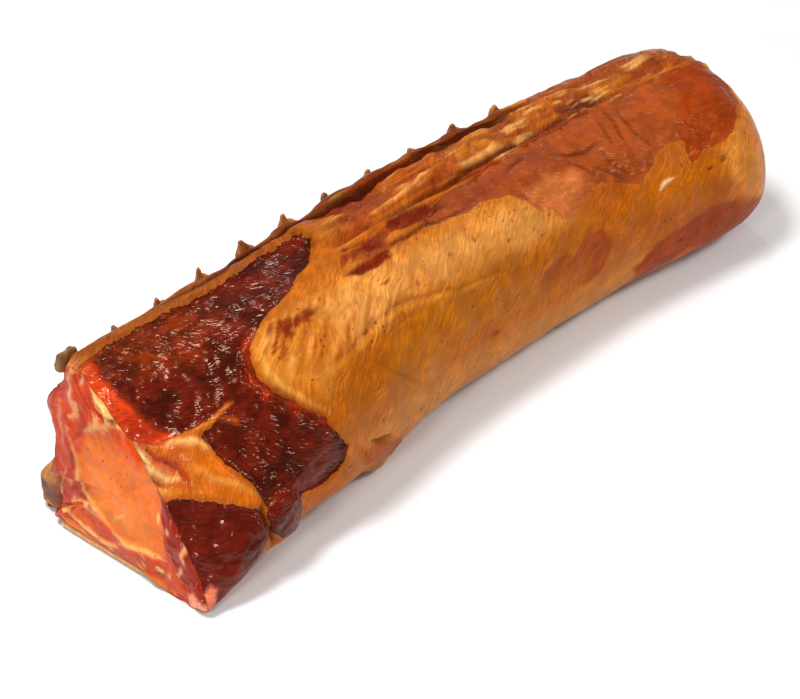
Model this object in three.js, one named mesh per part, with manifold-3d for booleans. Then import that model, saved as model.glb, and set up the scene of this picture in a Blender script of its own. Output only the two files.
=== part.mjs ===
// A whole smoked pork loin on the bone: one body of meat with its fat cover, the halved
// vertebrae along the split side of the back with their spines standing at the ridge, and
// the ribs that run across the underside.
// Millimetres. +X runs from the cut end to the rounded end, +Y to the split (bone) side, +Z up.
// The origin is the centre of the bounding box in X and Y, on the plane that the loin lies on.
import * as THREE from "three";
import { mergeVertices } from "three/addons/utils/BufferGeometryUtils.js";
import Module from "manifold-3d";

const wasm = await Module();
wasm.setup();

// ---- driving dimensions -------------------------------------------------------------------
const LENGTH = 447; // cut end to the tip of the rounded end
const HEIGHT = 102; // highest point of the meat, over the middle
const FRONT = 67; // furthest reach of the fat side from the middle plane
const BACK = 55; // furthest reach of the split side from the middle plane

// ---- the body of meat ---------------------------------------------------------------------
const BACK_LEAN = 9; // how far the split side leans in at the ridge
const CUT_LEAN = 17; // how far the cut end leans back at the ridge
const CUT_SKEW = 5; // how far the cut end runs forward on the fat side, and back on the other
const CUT_REACH = 70; // the cut end's slope dies out over this length
const CAP_LENGTH = 58; // length of the rounded end
const CAP_POWER = 3.3; // roundness of that end: 2 is an ellipse
const CAP_CENTRE = { y: -2, z: 40 };
const BED = 2; // depth of the round underside that is pressed flat by its own weight
const SHOULDER_HEIGHT = 42; // where the split side turns from its foot to its top
const SHELF = { out: 2.5, top: 16, fade: 12 }; // the foot that carries the halved vertebrae
const RINGS = 38; // steps along the length
const ARC_STEPS = 9; // steps in each quarter of a section

// How the outline changes along the length: share of LENGTH, then shares of the sizes above.
const OUTLINE = [
  { at: 0.0, front: 0.97, crown: 0.9, back: 0.86 },
  { at: 0.07, front: 1.0, crown: 0.9, back: 0.88 },
  { at: 0.15, front: 0.96, crown: 0.91, back: 0.91 },
  { at: 0.25, front: 0.93, crown: 0.95, back: 0.95 },
  { at: 0.38, front: 0.79, crown: 0.97, back: 0.99 },
  { at: 0.53, front: 0.74, crown: 1.0, back: 0.99 },
  { at: 0.69, front: 0.75, crown: 0.96, back: 0.95 },
  { at: 0.82, front: 0.85, crown: 0.905, back: 0.91 },
  { at: 0.92, front: 0.94, crown: 0.9, back: 0.88 },
  { at: 1.0, front: 0.94, crown: 0.92, back: 0.86 },
];

// Where the crown and the widest point lie, and how square each quarter of a section is.
const ROUNDING = [
  { at: 0.0, crownY: 30, bulgeZ: 5, frontTop: 1.3, backTop: 5, frontFoot: 2.8, backFoot: 8 },
  { at: 0.07, crownY: 26, bulgeZ: 22, frontTop: 1.5, backTop: 5, frontFoot: 2.8, backFoot: 8 },
  { at: 0.14, crownY: 22, bulgeZ: 33, frontTop: 1.7, backTop: 5, frontFoot: 2.8, backFoot: 8 },
  { at: 0.25, crownY: 10, bulgeZ: 39, frontTop: 2.1, backTop: 5, frontFoot: 2.8, backFoot: 8 },
  { at: 0.53, crownY: 4, bulgeZ: 39, frontTop: 2.2, backTop: 5, frontFoot: 2.8, backFoot: 8 },
  { at: 0.86, crownY: 1, bulgeZ: 38, frontTop: 2.3, backTop: 4, frontFoot: 2.8, backFoot: 5 },
  { at: 1.0, crownY: 0, bulgeZ: 32, frontTop: 2.0, backTop: 2.5, frontFoot: 2.2, backFoot: 3 },
];

// Soft lumps and hollows of the sides: place along the length, height, reach and spread.
const LUMPS = [
  { x: 62, z: 16, side: -1, out: 3.5, along: 12, up: 15 }, // rolled end of the side muscle
  { x: 136, z: 8, side: -1, out: 7, along: 13, up: 7 }, // turned-out flap of fat
  { x: 4, z: 67, side: 1, out: 5, along: 9, up: 9 }, // swollen lean at the cut end
  { x: 0, z: 38, side: 1, out: -4, along: 14, up: 16 }, // and the hollow below it
];

// ---- the bones ----------------------------------------------------------------------------
const CLEARANCE = 0.45; // gap between a bone and the meat around it
const VERTEBRAE = { first: 20, pitch: 27.5, growth: 0.45, endRoom: 30 };
const DISC = 4.5; // gap between one vertebra's body and the next
const CENTRUM = { width: 17, height: 21, floor: 0.8, proud: 1.5, bevel: 2.5 };
const SPINE = { thickness: 6, root: 13, tip: 6.5, slant: 8, short: 1.5, bevel: 1.4, inset: 1.5 };
// How far each spine that shows ends below the highest; the rest end under the fat.
const SPINE_DROPS = [0, 0, 1, 2, 1, 2, 5, 6, 6, 3, 3];
const SPINE_SUNK = 26; // how far below the ridge those end
const RIBS = { count: 10, width: 12, thickness: 11, floor: 0.4, reach: 72, slant: 7, bevel: 3 };
const RIB_BEHIND = 20; // from the tip of a vertebra's spine back to the head of its rib
const RIB_TAPER = 0.3; // share of its width that a rib loses on its way to the fat side
const RIB_TO_CENTRUM = 2; // gap between a rib's head and the vertebrae

const COLOURS = { meat: 0x9c4a1c, bone: 0xb08a5a };

// ---- curves -------------------------------------------------------------------------------

// A smooth curve through rows[].at and rows[][key], level with its neighbours' slope.
function through(rows, key, t) {
  const last = rows.length - 1;
  let i = 0;
  while (i < last - 1 && t > rows[i + 1].at) i++;
  const slope = (k) => {
    const a = rows[Math.max(0, k - 1)];
    const b = rows[Math.min(last, k + 1)];
    return (b[key] - a[key]) / (b.at - a.at);
  };
  const a = rows[i];
  const b = rows[i + 1];
  const gap = b.at - a.at;
  const u = THREE.MathUtils.clamp((t - a.at) / gap, 0, 1);
  const rise = u * u * (3 - 2 * u);
  const bend = u * (1 - u);
  return (
    a[key] * (1 - rise) +
    b[key] * rise +
    gap * bend * (slope(i) * (1 - u) - slope(i + 1) * u)
  );
}

const crownAt = (x) => HEIGHT * through(OUTLINE, "crown", x / LENGTH);
const backAt = (x) => BACK * through(OUTLINE, "back", x / LENGTH);
const frontAt = (x) => FRONT * through(OUTLINE, "front", x / LENGTH);

// Y of the split side at height z.
const splitSide = (x, z) => backAt(x) - (BACK_LEAN * z) / HEIGHT;

// How far the rounded end has drawn in at x: 1 before it, 0 at the tip.
function capShare(x) {
  const t = Math.max(0, (x - (LENGTH - CAP_LENGTH)) / CAP_LENGTH);
  return Math.max(0, 1 - t ** CAP_POWER) ** (1 / CAP_POWER);
}

// One quarter of a superellipse from (0, 1) down to (1, 0): the larger the power, the squarer.
function quarter(power) {
  const points = [];
  for (let k = 0; k < ARC_STEPS; k++) {
    const a = (k / ARC_STEPS) * (Math.PI / 2);
    points.push([Math.sin(a) ** (2 / power), Math.cos(a) ** (2 / power)]);
  }
  return points;
}

// The closed outline of the section at x, as [y, z], from the crown round by the split side.
function section(x) {
  const t = x / LENGTH;
  const shape = Object.fromEntries(
    Object.keys(ROUNDING[0]).map((key) => [key, through(ROUNDING, key, t)]),
  );
  const crown = crownAt(x) + BED;
  const front = frontAt(x);
  const back = backAt(x);
  const { crownY, bulgeZ } = shape;
  const turned = (power) => quarter(power).map(([out, up]) => [up, out]);
  const points = [
    ...quarter(shape.backTop).map(([out, up]) => [
      crownY + (back - crownY) * out,
      SHOULDER_HEIGHT + (crown - SHOULDER_HEIGHT) * up,
    ]),
    ...turned(shape.backFoot).map(([out, down]) => [
      crownY + (back - crownY) * out,
      SHOULDER_HEIGHT * (1 - down),
    ]),
    ...quarter(shape.frontFoot).map(([out, down]) => [
      crownY - (crownY + front) * out,
      bulgeZ * (1 - down),
    ]),
    ...turned(shape.frontTop).map(([out, up]) => [
      crownY - (crownY + front) * out,
      bulgeZ + (crown - bulgeZ) * up,
    ]),
  ];
  return points.map(([y, z]) => {
    const backward = THREE.MathUtils.clamp((y - crownY) / (back - crownY), 0, 1);
    const shelf = 1 - THREE.MathUtils.smoothstep(z, SHELF.top, SHELF.top + SHELF.fade);
    return [y - (BACK_LEAN * z * backward) / HEIGHT + SHELF.out * shelf * backward ** 6, z];
  });
}

// Outward push of the lumps at a point of the side.
function lumpsAt(x, y, z) {
  return LUMPS.reduce((sum, lump) => {
    if (Math.sign(y) !== lump.side) return sum;
    const away = ((x - lump.x) / lump.along) ** 2 + ((z - lump.z) / lump.up) ** 2;
    return sum + lump.side * lump.out * Math.exp(-away);
  }, 0);
}

// A ring of points of the finished body: the section drawn in by the rounded end, laid flat
// below, and slid along by the slope of the cut end.
function ring(x) {
  const share = capShare(x);
  const cut = THREE.MathUtils.clamp(1 - x / CUT_REACH, 0, 1);
  return section(x).map(([y0, z0]) => {
    const y = CAP_CENTRE.y + (y0 - CAP_CENTRE.y) * share;
    const z = Math.max(0, CAP_CENTRE.z + (z0 - CAP_CENTRE.z) * share - BED);
    const slide = cut * ((CUT_LEAN * z) / HEIGHT - (CUT_SKEW * y) / FRONT);
    return new THREE.Vector3(x + slide, y + lumpsAt(x, y, z) * share, z);
  });
}

// A closed surface through rings of equal size, with a fan at each end.
function loft(rings) {
  const size = rings[0].length;
  const points = rings.flat();
  const centre = (list) =>
    list.reduce((sum, p) => sum.add(p), new THREE.Vector3()).divideScalar(list.length);
  const first = points.push(centre(rings[0])) - 1;
  const last = points.push(centre(rings.at(-1))) - 1;
  const faces = [];
  for (let k = 0; k < size; k++) {
    const next = (k + 1) % size;
    faces.push(first, k, next);
    const top = (rings.length - 1) * size;
    faces.push(last, top + next, top + k);
    for (let r = 0; r < rings.length - 1; r++) {
      const a = r * size;
      const b = a + size;
      faces.push(a + k, b + k, a + next);
      faces.push(b + k, b + next, a + next);
    }
  }
  return new THREE.BufferGeometry().setFromPoints(points).setIndex(faces);
}

// ---- solids -------------------------------------------------------------------------------

function solid(geometry) {
  const bare = new THREE.BufferGeometry()
    .setAttribute("position", geometry.getAttribute("position"))
    .setIndex(geometry.index);
  const merged = mergeVertices(bare, 1e-4);
  return new wasm.Manifold(
    new wasm.Mesh({
      numProp: 3,
      vertProperties: merged.attributes.position.array,
      triVerts: new Uint32Array(merged.index.array),
    }),
  );
}

function geometryOf(made) {
  const mesh = made.getMesh();
  const geometry = new THREE.BufferGeometry();
  geometry.setAttribute("position", new THREE.BufferAttribute(mesh.vertProperties, 3));
  geometry.setIndex(new THREE.BufferAttribute(mesh.triVerts, 1));
  return geometry;
}

// A plate with rounded edges: its outline in X and Z, its thickness along Y about y = 0.
function plate(outline, thickness, bevel) {
  const geometry = new THREE.ExtrudeGeometry(outline, {
    depth: thickness - 2 * bevel,
    bevelSize: bevel,
    bevelThickness: bevel,
    bevelOffset: -bevel,
    bevelSegments: 1,
  });
  return geometry.translate(0, 0, bevel - thickness / 2).rotateX(Math.PI / 2);
}

function outlineOf(points) {
  return new THREE.Shape(points.map(([x, z]) => new THREE.Vector2(x, z)));
}

// One halved vertebra at x: its body on the shelf and its flat spine up to the ridge. The
// same shape with grow as the clearance is its socket in the meat.
function vertebra(x, pitch, drop, grow) {
  const half = (pitch - DISC) / 2 + grow;
  const low = grow > 0 ? -BED : CENTRUM.floor; // a socket is open below
  const high = CENTRUM.floor + CENTRUM.height + grow;
  const deep = CENTRUM.width + 2 * grow;
  const outer = splitSide(x, 0) + SHELF.out + CENTRUM.proud;
  const block = outlineOf([
    [-half, low],
    [half, low],
    [half - 1, high - 2],
    [half - 4, high],
    [-half + 4, high],
    [-half + 1, high - 2],
  ]);
  const body = plate(block, deep, CENTRUM.bevel);
  body.translate(x - SPINE.slant, outer - CENTRUM.width / 2, 0);

  const top = crownAt(x) - drop + grow;
  const root = SPINE.root / 2 + grow;
  const tip = SPINE.tip / 2 + grow;
  const start = CENTRUM.height / 2;
  const blade = outlineOf([
    [-SPINE.slant - root, start],
    [-SPINE.slant + root, start],
    [tip, top - 9],
    [tip + 1.5, top - 4.5],
    [0, top - 1.5],
    [-tip + 1, top],
    [-tip - 0.5, top - 6],
  ]);
  const lean = Math.atan(BACK_LEAN / HEIGHT);
  const spine = plate(blade, SPINE.thickness + 2 * grow, SPINE.bevel)
    .rotateX(lean)
    .translate(x, splitSide(x, 0) - SPINE.inset, 0);
  return solid(body).add(solid(spine));
}

// What the saw took off at the cut end: everything before the plane of the cut.
function sawnOff() {
  const geometry = new THREE.BoxGeometry(LENGTH, 4 * FRONT, 4 * HEIGHT).translate(-LENGTH / 2, 0, 0);
  const position = geometry.getAttribute("position");
  for (let k = 0; k < position.count; k++) {
    const slope = (CUT_LEAN * position.getZ(k)) / HEIGHT - (CUT_SKEW * position.getY(k)) / FRONT;
    position.setX(k, position.getX(k) + slope);
  }
  return solid(geometry);
}

// One rib, from beside the vertebrae across the underside towards the fat side.
function rib(x, grow) {
  const inner = splitSide(x, 0) + SHELF.out + CENTRUM.proud - CENTRUM.width - RIB_TO_CENTRUM;
  const half = RIBS.width / 2 + grow;
  const top = RIBS.floor + RIBS.thickness + grow;
  const low = grow > 0 ? -BED : RIBS.floor; // a socket is open below
  const across = outlineOf([
    [-half, low],
    [half, low],
    [half, top - RIBS.bevel],
    [half - RIBS.bevel, top],
    [-half + RIBS.bevel, top],
    [-half, top - RIBS.bevel],
  ]);
  const run = RIBS.reach + 2 * grow;
  const geometry = new THREE.ExtrudeGeometry(across, {
    depth: run,
    bevelEnabled: false,
    steps: 4,
  }).rotateX(Math.PI / 2);
  const position = geometry.getAttribute("position");
  for (let k = 0; k < position.count; k++) {
    const along = -position.getY(k) / run;
    const narrow = 1 - RIB_TAPER * along * along;
    position.setX(k, position.getX(k) * narrow + RIBS.slant * along);
    position.setY(k, position.getY(k) + grow);
  }
  return solid(geometry.translate(x, inner, 0));
}

// ---- the assembly -------------------------------------------------------------------------

const vertebrae = [];
for (
  let x = VERTEBRAE.first, pitch = VERTEBRAE.pitch;
  x < LENGTH - VERTEBRAE.endRoom;
  x += pitch, pitch += VERTEBRAE.growth
) {
  const fall = SPINE_DROPS[vertebrae.length];
  const drop = fall === undefined ? SPINE_SUNK : SPINE.short + fall;
  vertebrae.push({ x, pitch, make: (grow) => vertebra(x, pitch, drop, grow) });
}
const ribs = vertebrae
  .slice(0, RIBS.count)
  .map(({ x }) => ({ make: (grow) => rib(x - RIB_BEHIND, grow) }));

const places = [];
for (let k = 0; k < RINGS; k++) {
  const share = k / RINGS;
  places.push((LENGTH - CAP_LENGTH) * share);
}
for (let k = 0; k < ARC_STEPS; k++) {
  places.push(LENGTH - CAP_LENGTH + CAP_LENGTH * Math.sin(((k / ARC_STEPS) * Math.PI) / 2));
}
const meat = [...vertebrae, ...ribs].reduce(
  (left, bone) => left.subtract(bone.make(CLEARANCE)),
  solid(loft(places.map(ring))),
);

const material = (color, roughness) =>
  new THREE.MeshStandardMaterial({ color, roughness, metalness: 0 });
const meatMaterial = material(COLOURS.meat, 0.4);
const boneMaterial = material(COLOURS.bone, 0.7);

const group = new THREE.Group();
function addNode(name, made, look) {
  const mesh = new THREE.Mesh(geometryOf(made), look);
  mesh.name = name;
  group.add(mesh);
}
const numbered = (name, k) => name + "_" + String(k + 1).padStart(2, "0");
const sawn = sawnOff();
function addBones(name, bones) {
  bones.forEach((bone, k) => {
    addNode(numbered(name, k), bone.make(0).subtract(sawn), boneMaterial);
  });
}
addNode("loin_meat", meat, meatMaterial);
addBones("vertebra", vertebrae);
addBones("rib", ribs);

const box = new THREE.Box3().setFromObject(group);
const middle = box.getCenter(new THREE.Vector3());
group.children.forEach((mesh) => mesh.position.set(-middle.x, -middle.y, 0));

export default group;
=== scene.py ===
"""A whole smoked pork loin on the bone, lying on a pale floor under soft studio light.

The meat and its fat cover are one closed surface: a loft of squared-off ovals along the loin,
raised, sunk and coloured by patches and lines laid out on its skin. The halved vertebrae and
the ribs are surfaces swept along their own centre lines. Shapes are worked out in millimetres,
with x from the cut end to the rounded end, y to the split (bone) side and z up from the floor.
"""

import functools
import math
from collections import namedtuple

import bpy
import numpy as np
from mathutils import Matrix, Vector


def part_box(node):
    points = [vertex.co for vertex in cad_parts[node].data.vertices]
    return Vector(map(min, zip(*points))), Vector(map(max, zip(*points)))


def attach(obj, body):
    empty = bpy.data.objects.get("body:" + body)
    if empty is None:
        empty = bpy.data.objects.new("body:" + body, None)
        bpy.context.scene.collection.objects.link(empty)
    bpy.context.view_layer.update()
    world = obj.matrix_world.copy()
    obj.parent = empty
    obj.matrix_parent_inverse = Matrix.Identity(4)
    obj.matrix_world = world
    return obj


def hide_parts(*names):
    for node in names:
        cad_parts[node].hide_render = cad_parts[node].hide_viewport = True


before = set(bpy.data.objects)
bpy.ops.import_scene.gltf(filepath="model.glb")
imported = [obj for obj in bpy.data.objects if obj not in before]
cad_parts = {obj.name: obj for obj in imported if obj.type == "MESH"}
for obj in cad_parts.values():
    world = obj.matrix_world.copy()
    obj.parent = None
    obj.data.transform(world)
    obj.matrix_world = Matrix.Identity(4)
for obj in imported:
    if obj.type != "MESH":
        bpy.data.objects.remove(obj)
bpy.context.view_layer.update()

# ---- sizes of the body, in millimetres ------------------------------------------------------
LENGTH = 447.0
HEIGHT = 102.0
FRONT = 67.0
BACK = 55.0
BACK_LEAN = 9.0
CUT_LEAN = 17.0
CUT_SKEW = 5.0
CUT_REACH = 70.0
CAP_LENGTH = 58.0
CAP_POWER = 3.3
CAP_CENTRE = (-2.0, 40.0)
BED = 2.0
SHOULDER_HEIGHT = 42.0
SHELF_OUT = 2.5
SHELF_TOP = 16.0
SHELF_FADE = 12.0

# place along the length as a share; then reach in front, height and reach behind as shares
OUTLINE = np.array(
    [
        (0.00, 0.97, 0.90, 0.86),
        (0.07, 1.00, 0.90, 0.88),
        (0.15, 0.96, 0.91, 0.91),
        (0.25, 0.93, 0.95, 0.95),
        (0.38, 0.79, 0.97, 0.99),
        (0.53, 0.74, 1.00, 0.99),
        (0.69, 0.75, 0.96, 0.95),
        (0.82, 0.85, 0.905, 0.91),
        (0.92, 0.94, 0.90, 0.88),
        (1.00, 0.94, 0.92, 0.86),
    ]
)
# place; y of the crown, height of the widest point in front, and how square each quarter is:
# front top, back top, front foot, back foot
ROUNDING = np.array(
    [
        (0.00, 30, 5, 1.3, 5.0, 2.8, 8),
        (0.07, 26, 22, 1.5, 5.0, 2.8, 8),
        (0.14, 22, 33, 1.7, 5.0, 2.8, 8),
        (0.25, 10, 39, 2.1, 5.0, 2.8, 8),
        (0.53, 4, 39, 2.2, 5.0, 2.8, 8),
        (0.86, 1, 38, 2.3, 4.0, 2.8, 5),
        (1.00, 0, 32, 2.0, 2.5, 2.2, 3),
    ]
)

BODY_TOP = 22.0  # height of a vertebra's body
SPINE_SLANT = 8.0  # how far its spine runs along the loin on the way up
RIB_SLOPE = 7.0 / 72.0  # how far a rib runs along the loin for each millimetre across it
BONE_SEAT_DEPTH = 4.5  # how far the meat draws back from the foot of the first vertebra
VERTEBRA_MIN_HALF = 9.0  # least half length of a vertebra's body along the loin
SPINE_INSET = 5.2  # from the split face in to the middle of a spine
BROKEN_END = 11.0  # length of the broken end of a spine
RIB_HALF = 6.0  # half width of a rib next to the backbone

# rows and columns of the surfaces
COLUMNS = 300
FACE_ROWS = 58
SIDE_ROWS = 240
CAP_ROWS = 22
ROW_CROWDING = 1.12  # above 1 the rows crowd towards the cut end
COLUMN_SAMPLE = 0.35  # share of the length whose outline spaces the columns
HIDDEN_BACK = (34, 44)  # how far round from the crown the hidden side begins behind
HIDDEN_FRONT = (122, 132)  # and in front
HIDDEN_SAVING = 0.62  # share of the columns that the hidden side goes without
VERTEBRA_GRID = (66, 48)
RIB_GRID = (44, 32)
FACE_CENTRE = (-6.0, 36.0)
PATTERN_UNIT = 100  # millimetres along the skin for one unit of its streaks

# big odd numbers that scatter the corners of the noise's lattice
SCATTER = (374761393, 668265263, 1440662683)
STIR = 1274126177


# ---- noise and curves -----------------------------------------------------------------------
def noise(points, size, seed=0):
    """Value noise from -1 to 1: a random value at each corner of a cubic lattice `size` apart,
    blended across each cell with the weight 6t^5 - 15t^4 + 10t^3."""
    shape = points.shape[:-1]
    p = points.reshape(-1, 3) / size + 31.73 * (seed + 1)
    cell = np.floor(p)
    f = p - cell
    f = f * f * f * (f * (f * 6 - 15) + 10)
    cell = cell.astype(np.int64)
    total = np.zeros(len(p))
    for i in (0, 1):
        for j in (0, 1):
            for k in (0, 1):
                n = (cell[:, 0] + i) * SCATTER[0] + (cell[:, 1] + j) * SCATTER[1]
                n = n + (cell[:, 2] + k) * SCATTER[2] + seed * 97
                n = (n ^ (n >> 13)) * STIR
                value = ((n ^ (n >> 16)) & 0xFFFF) / 32767.5 - 1
                wx = f[:, 0] if i else 1 - f[:, 0]
                wy = f[:, 1] if j else 1 - f[:, 1]
                wz = f[:, 2] if k else 1 - f[:, 2]
                total += wx * wy * wz * value
    return total.reshape(shape)


def fractal(points, size, seed=0, octaves=3):
    """A sum of noises, each half the size and half the strength of the one before."""
    parts = [noise(points, size / 2**k, seed + k) / 2**k for k in range(octaves)]
    return sum(parts) / (2 - 2 ** (1 - octaves))


def smooth(low, high, x):
    """Rises from 0 at low to 1 at high, level at both ends (3t^2 - 2t^3)."""
    t = np.clip((x - low) / (high - low), 0, 1)
    return t * t * (3 - 2 * t)


def between(low, start, end, high, x):
    """1 from start to end, falling smoothly to 0 at low and at high."""
    return smooth(low, start, x) * smooth(high, end, x)


def through(table, column, t):
    """A smooth curve through one column of a table at the places in its first column: cubic
    between neighbours, with each slope taken from the points on both sides."""
    at = table[:, 0]
    value = table[:, column]
    last = len(at) - 1
    i = np.clip(np.searchsorted(at, t) - 1, 0, last - 1)
    low = np.maximum(np.arange(last + 1) - 1, 0)
    high = np.minimum(np.arange(last + 1) + 1, last)
    slope = (value[high] - value[low]) / (at[high] - at[low])
    gap = at[i + 1] - at[i]
    u = np.clip((t - at[i]) / gap, 0, 1)
    rise = u * u * (3 - 2 * u)
    bend = gap * u * (1 - u)
    level = value[i] * (1 - rise) + value[i + 1] * rise
    return level + bend * (slope[i] * (1 - u) - slope[i + 1] * u)


def distance_to_line(px, py, line):
    """Distance from each point to an open line through the given points, and how far along
    it (0 to 1) the nearest place is."""
    best = np.full(px.shape, 1e9)
    where = np.zeros(px.shape)
    count = len(line) - 1
    for k in range(count):
        (ax, ay), (bx, by) = line[k], line[k + 1]
        dx, dy = bx - ax, by - ay
        t = np.clip(((px - ax) * dx + (py - ay) * dy) / (dx * dx + dy * dy), 0, 1)
        d = np.hypot(px - ax - t * dx, py - ay - t * dy)
        where = np.where(d < best, (k + t) / count, where)
        best = np.minimum(best, d)
    return best, where


def depth_inside(px, py, outline):
    """Signed distance to a closed outline: positive inside, negative outside."""
    closed = list(outline) + [outline[0]]
    away, _ = distance_to_line(px, py, closed)
    inside = np.zeros(px.shape, bool)
    for (ax, ay), (bx, by) in zip(closed[:-1], closed[1:]):
        crosses = (ay > py) != (by > py)
        rise = by - ay if by != ay else 1e-9
        inside ^= crosses & (px < (bx - ax) * (py - ay) / rise + ax)
    return np.where(inside, away, -away)


def linear(colour):
    """A colour given as red, green and blue from 0 to 255, as linear light."""
    c = np.asarray(colour, float) / 255
    return np.where(c <= 0.04045, c / 12.92, ((c + 0.055) / 1.055) ** 2.4)


# ---- the plain body -------------------------------------------------------------------------
def quarter_arc(turn, power):
    """One quarter of a superellipse: out = sin^(2/p), up = cos^(2/p)."""
    s = np.maximum(np.sin(turn), 1e-9)
    c = np.maximum(np.cos(turn), 1e-9)
    return s ** (2 / power), c ** (2 / power)


def section(x, q):
    """The outline of the loin at x, at turns q from 0 to 4: crown to back in the first quarter,
    down the back in the second, to the foot in front in the third and up in the last."""
    t = x / LENGTH
    crown = HEIGHT * through(OUTLINE, 2, t) + BED
    front = FRONT * through(OUTLINE, 1, t)
    back = BACK * through(OUTLINE, 3, t)
    crown_y, bulge = through(ROUNDING, 1, t), through(ROUNDING, 2, t)
    turn = (q % 1) * math.pi / 2
    s0, c0 = quarter_arc(turn, through(ROUNDING, 4, t))
    s1, c1 = quarter_arc(turn, through(ROUNDING, 6, t))
    s2, c2 = quarter_arc(turn, through(ROUNDING, 5, t))
    s3, c3 = quarter_arc(turn, through(ROUNDING, 3, t))
    quarter = np.floor(q + 0 * x).astype(int) % 4
    cases = [quarter == k for k in range(4)]
    behind, ahead = back - crown_y, crown_y + front
    y = np.select(
        cases,
        [crown_y + behind * s0, crown_y + behind * c1, crown_y - ahead * s2, crown_y - ahead * c3],
    )
    z = np.select(
        cases,
        [
            SHOULDER_HEIGHT + (crown - SHOULDER_HEIGHT) * c0,
            SHOULDER_HEIGHT * (1 - s1),
            bulge * (1 - c2),
            bulge + (crown - bulge) * s3,
        ],
    )
    backward = np.clip((y - crown_y) / behind, 0, 1)
    shelf = 1 - smooth(SHELF_TOP, SHELF_TOP + SHELF_FADE, z)
    return y - BACK_LEAN * z * backward / HEIGHT + SHELF_OUT * shelf * backward**6, z


def plain_body(x, q):
    """Points of the body before any detail: the section, drawn in by the rounded end, laid
    flat below and slid along by the slope of the cut end."""
    y, z = section(x, q)
    t = np.clip((x - (LENGTH - CAP_LENGTH)) / CAP_LENGTH, 0, 1)
    share = np.maximum(0, 1 - t**CAP_POWER) ** (1 / CAP_POWER)
    y = CAP_CENTRE[0] + (y - CAP_CENTRE[0]) * share
    z = np.maximum(0, CAP_CENTRE[1] + (z - CAP_CENTRE[1]) * share - BED)
    cut = np.clip(1 - x / CUT_REACH, 0, 1)
    slide = cut * (CUT_LEAN * z / HEIGHT - CUT_SKEW * y / FRONT)
    return np.stack([x + slide, y, z], -1)


def even_turns(x, count):
    """Turns q that cut the outline at x into steps of about equal weight, where the back below
    the ridge and the underside weigh less than the rest and so get wider steps."""
    fine = np.linspace(0, 4, 4001)
    p = plain_body(np.full((1, 1), float(x)), fine[None, :-1])[0]
    p = np.vstack([p, p[:1]])
    step = np.linalg.norm(np.diff(p, axis=0), axis=1)
    arc = np.cumsum(step)
    hidden = smooth(*HIDDEN_BACK, arc) * smooth(*HIDDEN_FRONT, arc[-1] - arc)
    weight = np.concatenate([[0], np.cumsum(step * (1 - HIDDEN_SAVING * hidden))])
    steps = np.linspace(0, weight[-1], count + 1)[:-1]
    return np.interp(steps, weight, fine)


def girth(points):
    """Distance round the skin from the crown: positive down the front, negative down the back."""
    closed = np.concatenate([points, points[:, :1]], axis=1)
    step = np.linalg.norm(np.diff(closed, axis=1), axis=-1)
    arc = np.concatenate([np.zeros((len(points), 1)), np.cumsum(step, axis=1)], axis=1)
    whole = arc[:, -1:]
    arc = arc[:, :-1]
    return np.where(arc < whole * 0.5, -arc, whole - arc)


def outward(points):
    """Unit normals of a grid of points whose rows run along and whose columns close up."""
    along = np.gradient(points, axis=0)
    around = np.roll(points, -1, axis=1) - np.roll(points, 1, axis=1)
    n = np.cross(around, along)
    n /= np.maximum(np.linalg.norm(n, axis=-1, keepdims=True), 1e-9)
    centre = points.mean(axis=1, keepdims=True)
    flip = np.sign(np.sum(n * (points - centre), axis=(1, 2)))
    return n * np.where(flip == 0, 1, flip)[:, None, None]


# ---- colours --------------------------------------------------------------------------------
AMBER = (176, 88, 16)
CREAM = (244, 178, 96)
MARROW = (112, 34, 14)
# near-black painted shade for the crack along the ridge
CREVICE_SHADE = (62, 16, 4)

# A patch covers the inside of its outline. Height is that of its surface above the plain body,
# edge is how soft its rim is and wander how far the rim strays, in millimetres; lean and wet say
# how much it is bare meat and how wet it is, from 0 to 1.
Patch = namedtuple("Patch", "name colour height edge wander outline lean wet", defaults=(0, 0))
# A line has a half width, a depth (negative is sunk), and a colour laid on at some strength.
Line = namedtuple("Line", "name width depth colour strength points")

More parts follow.
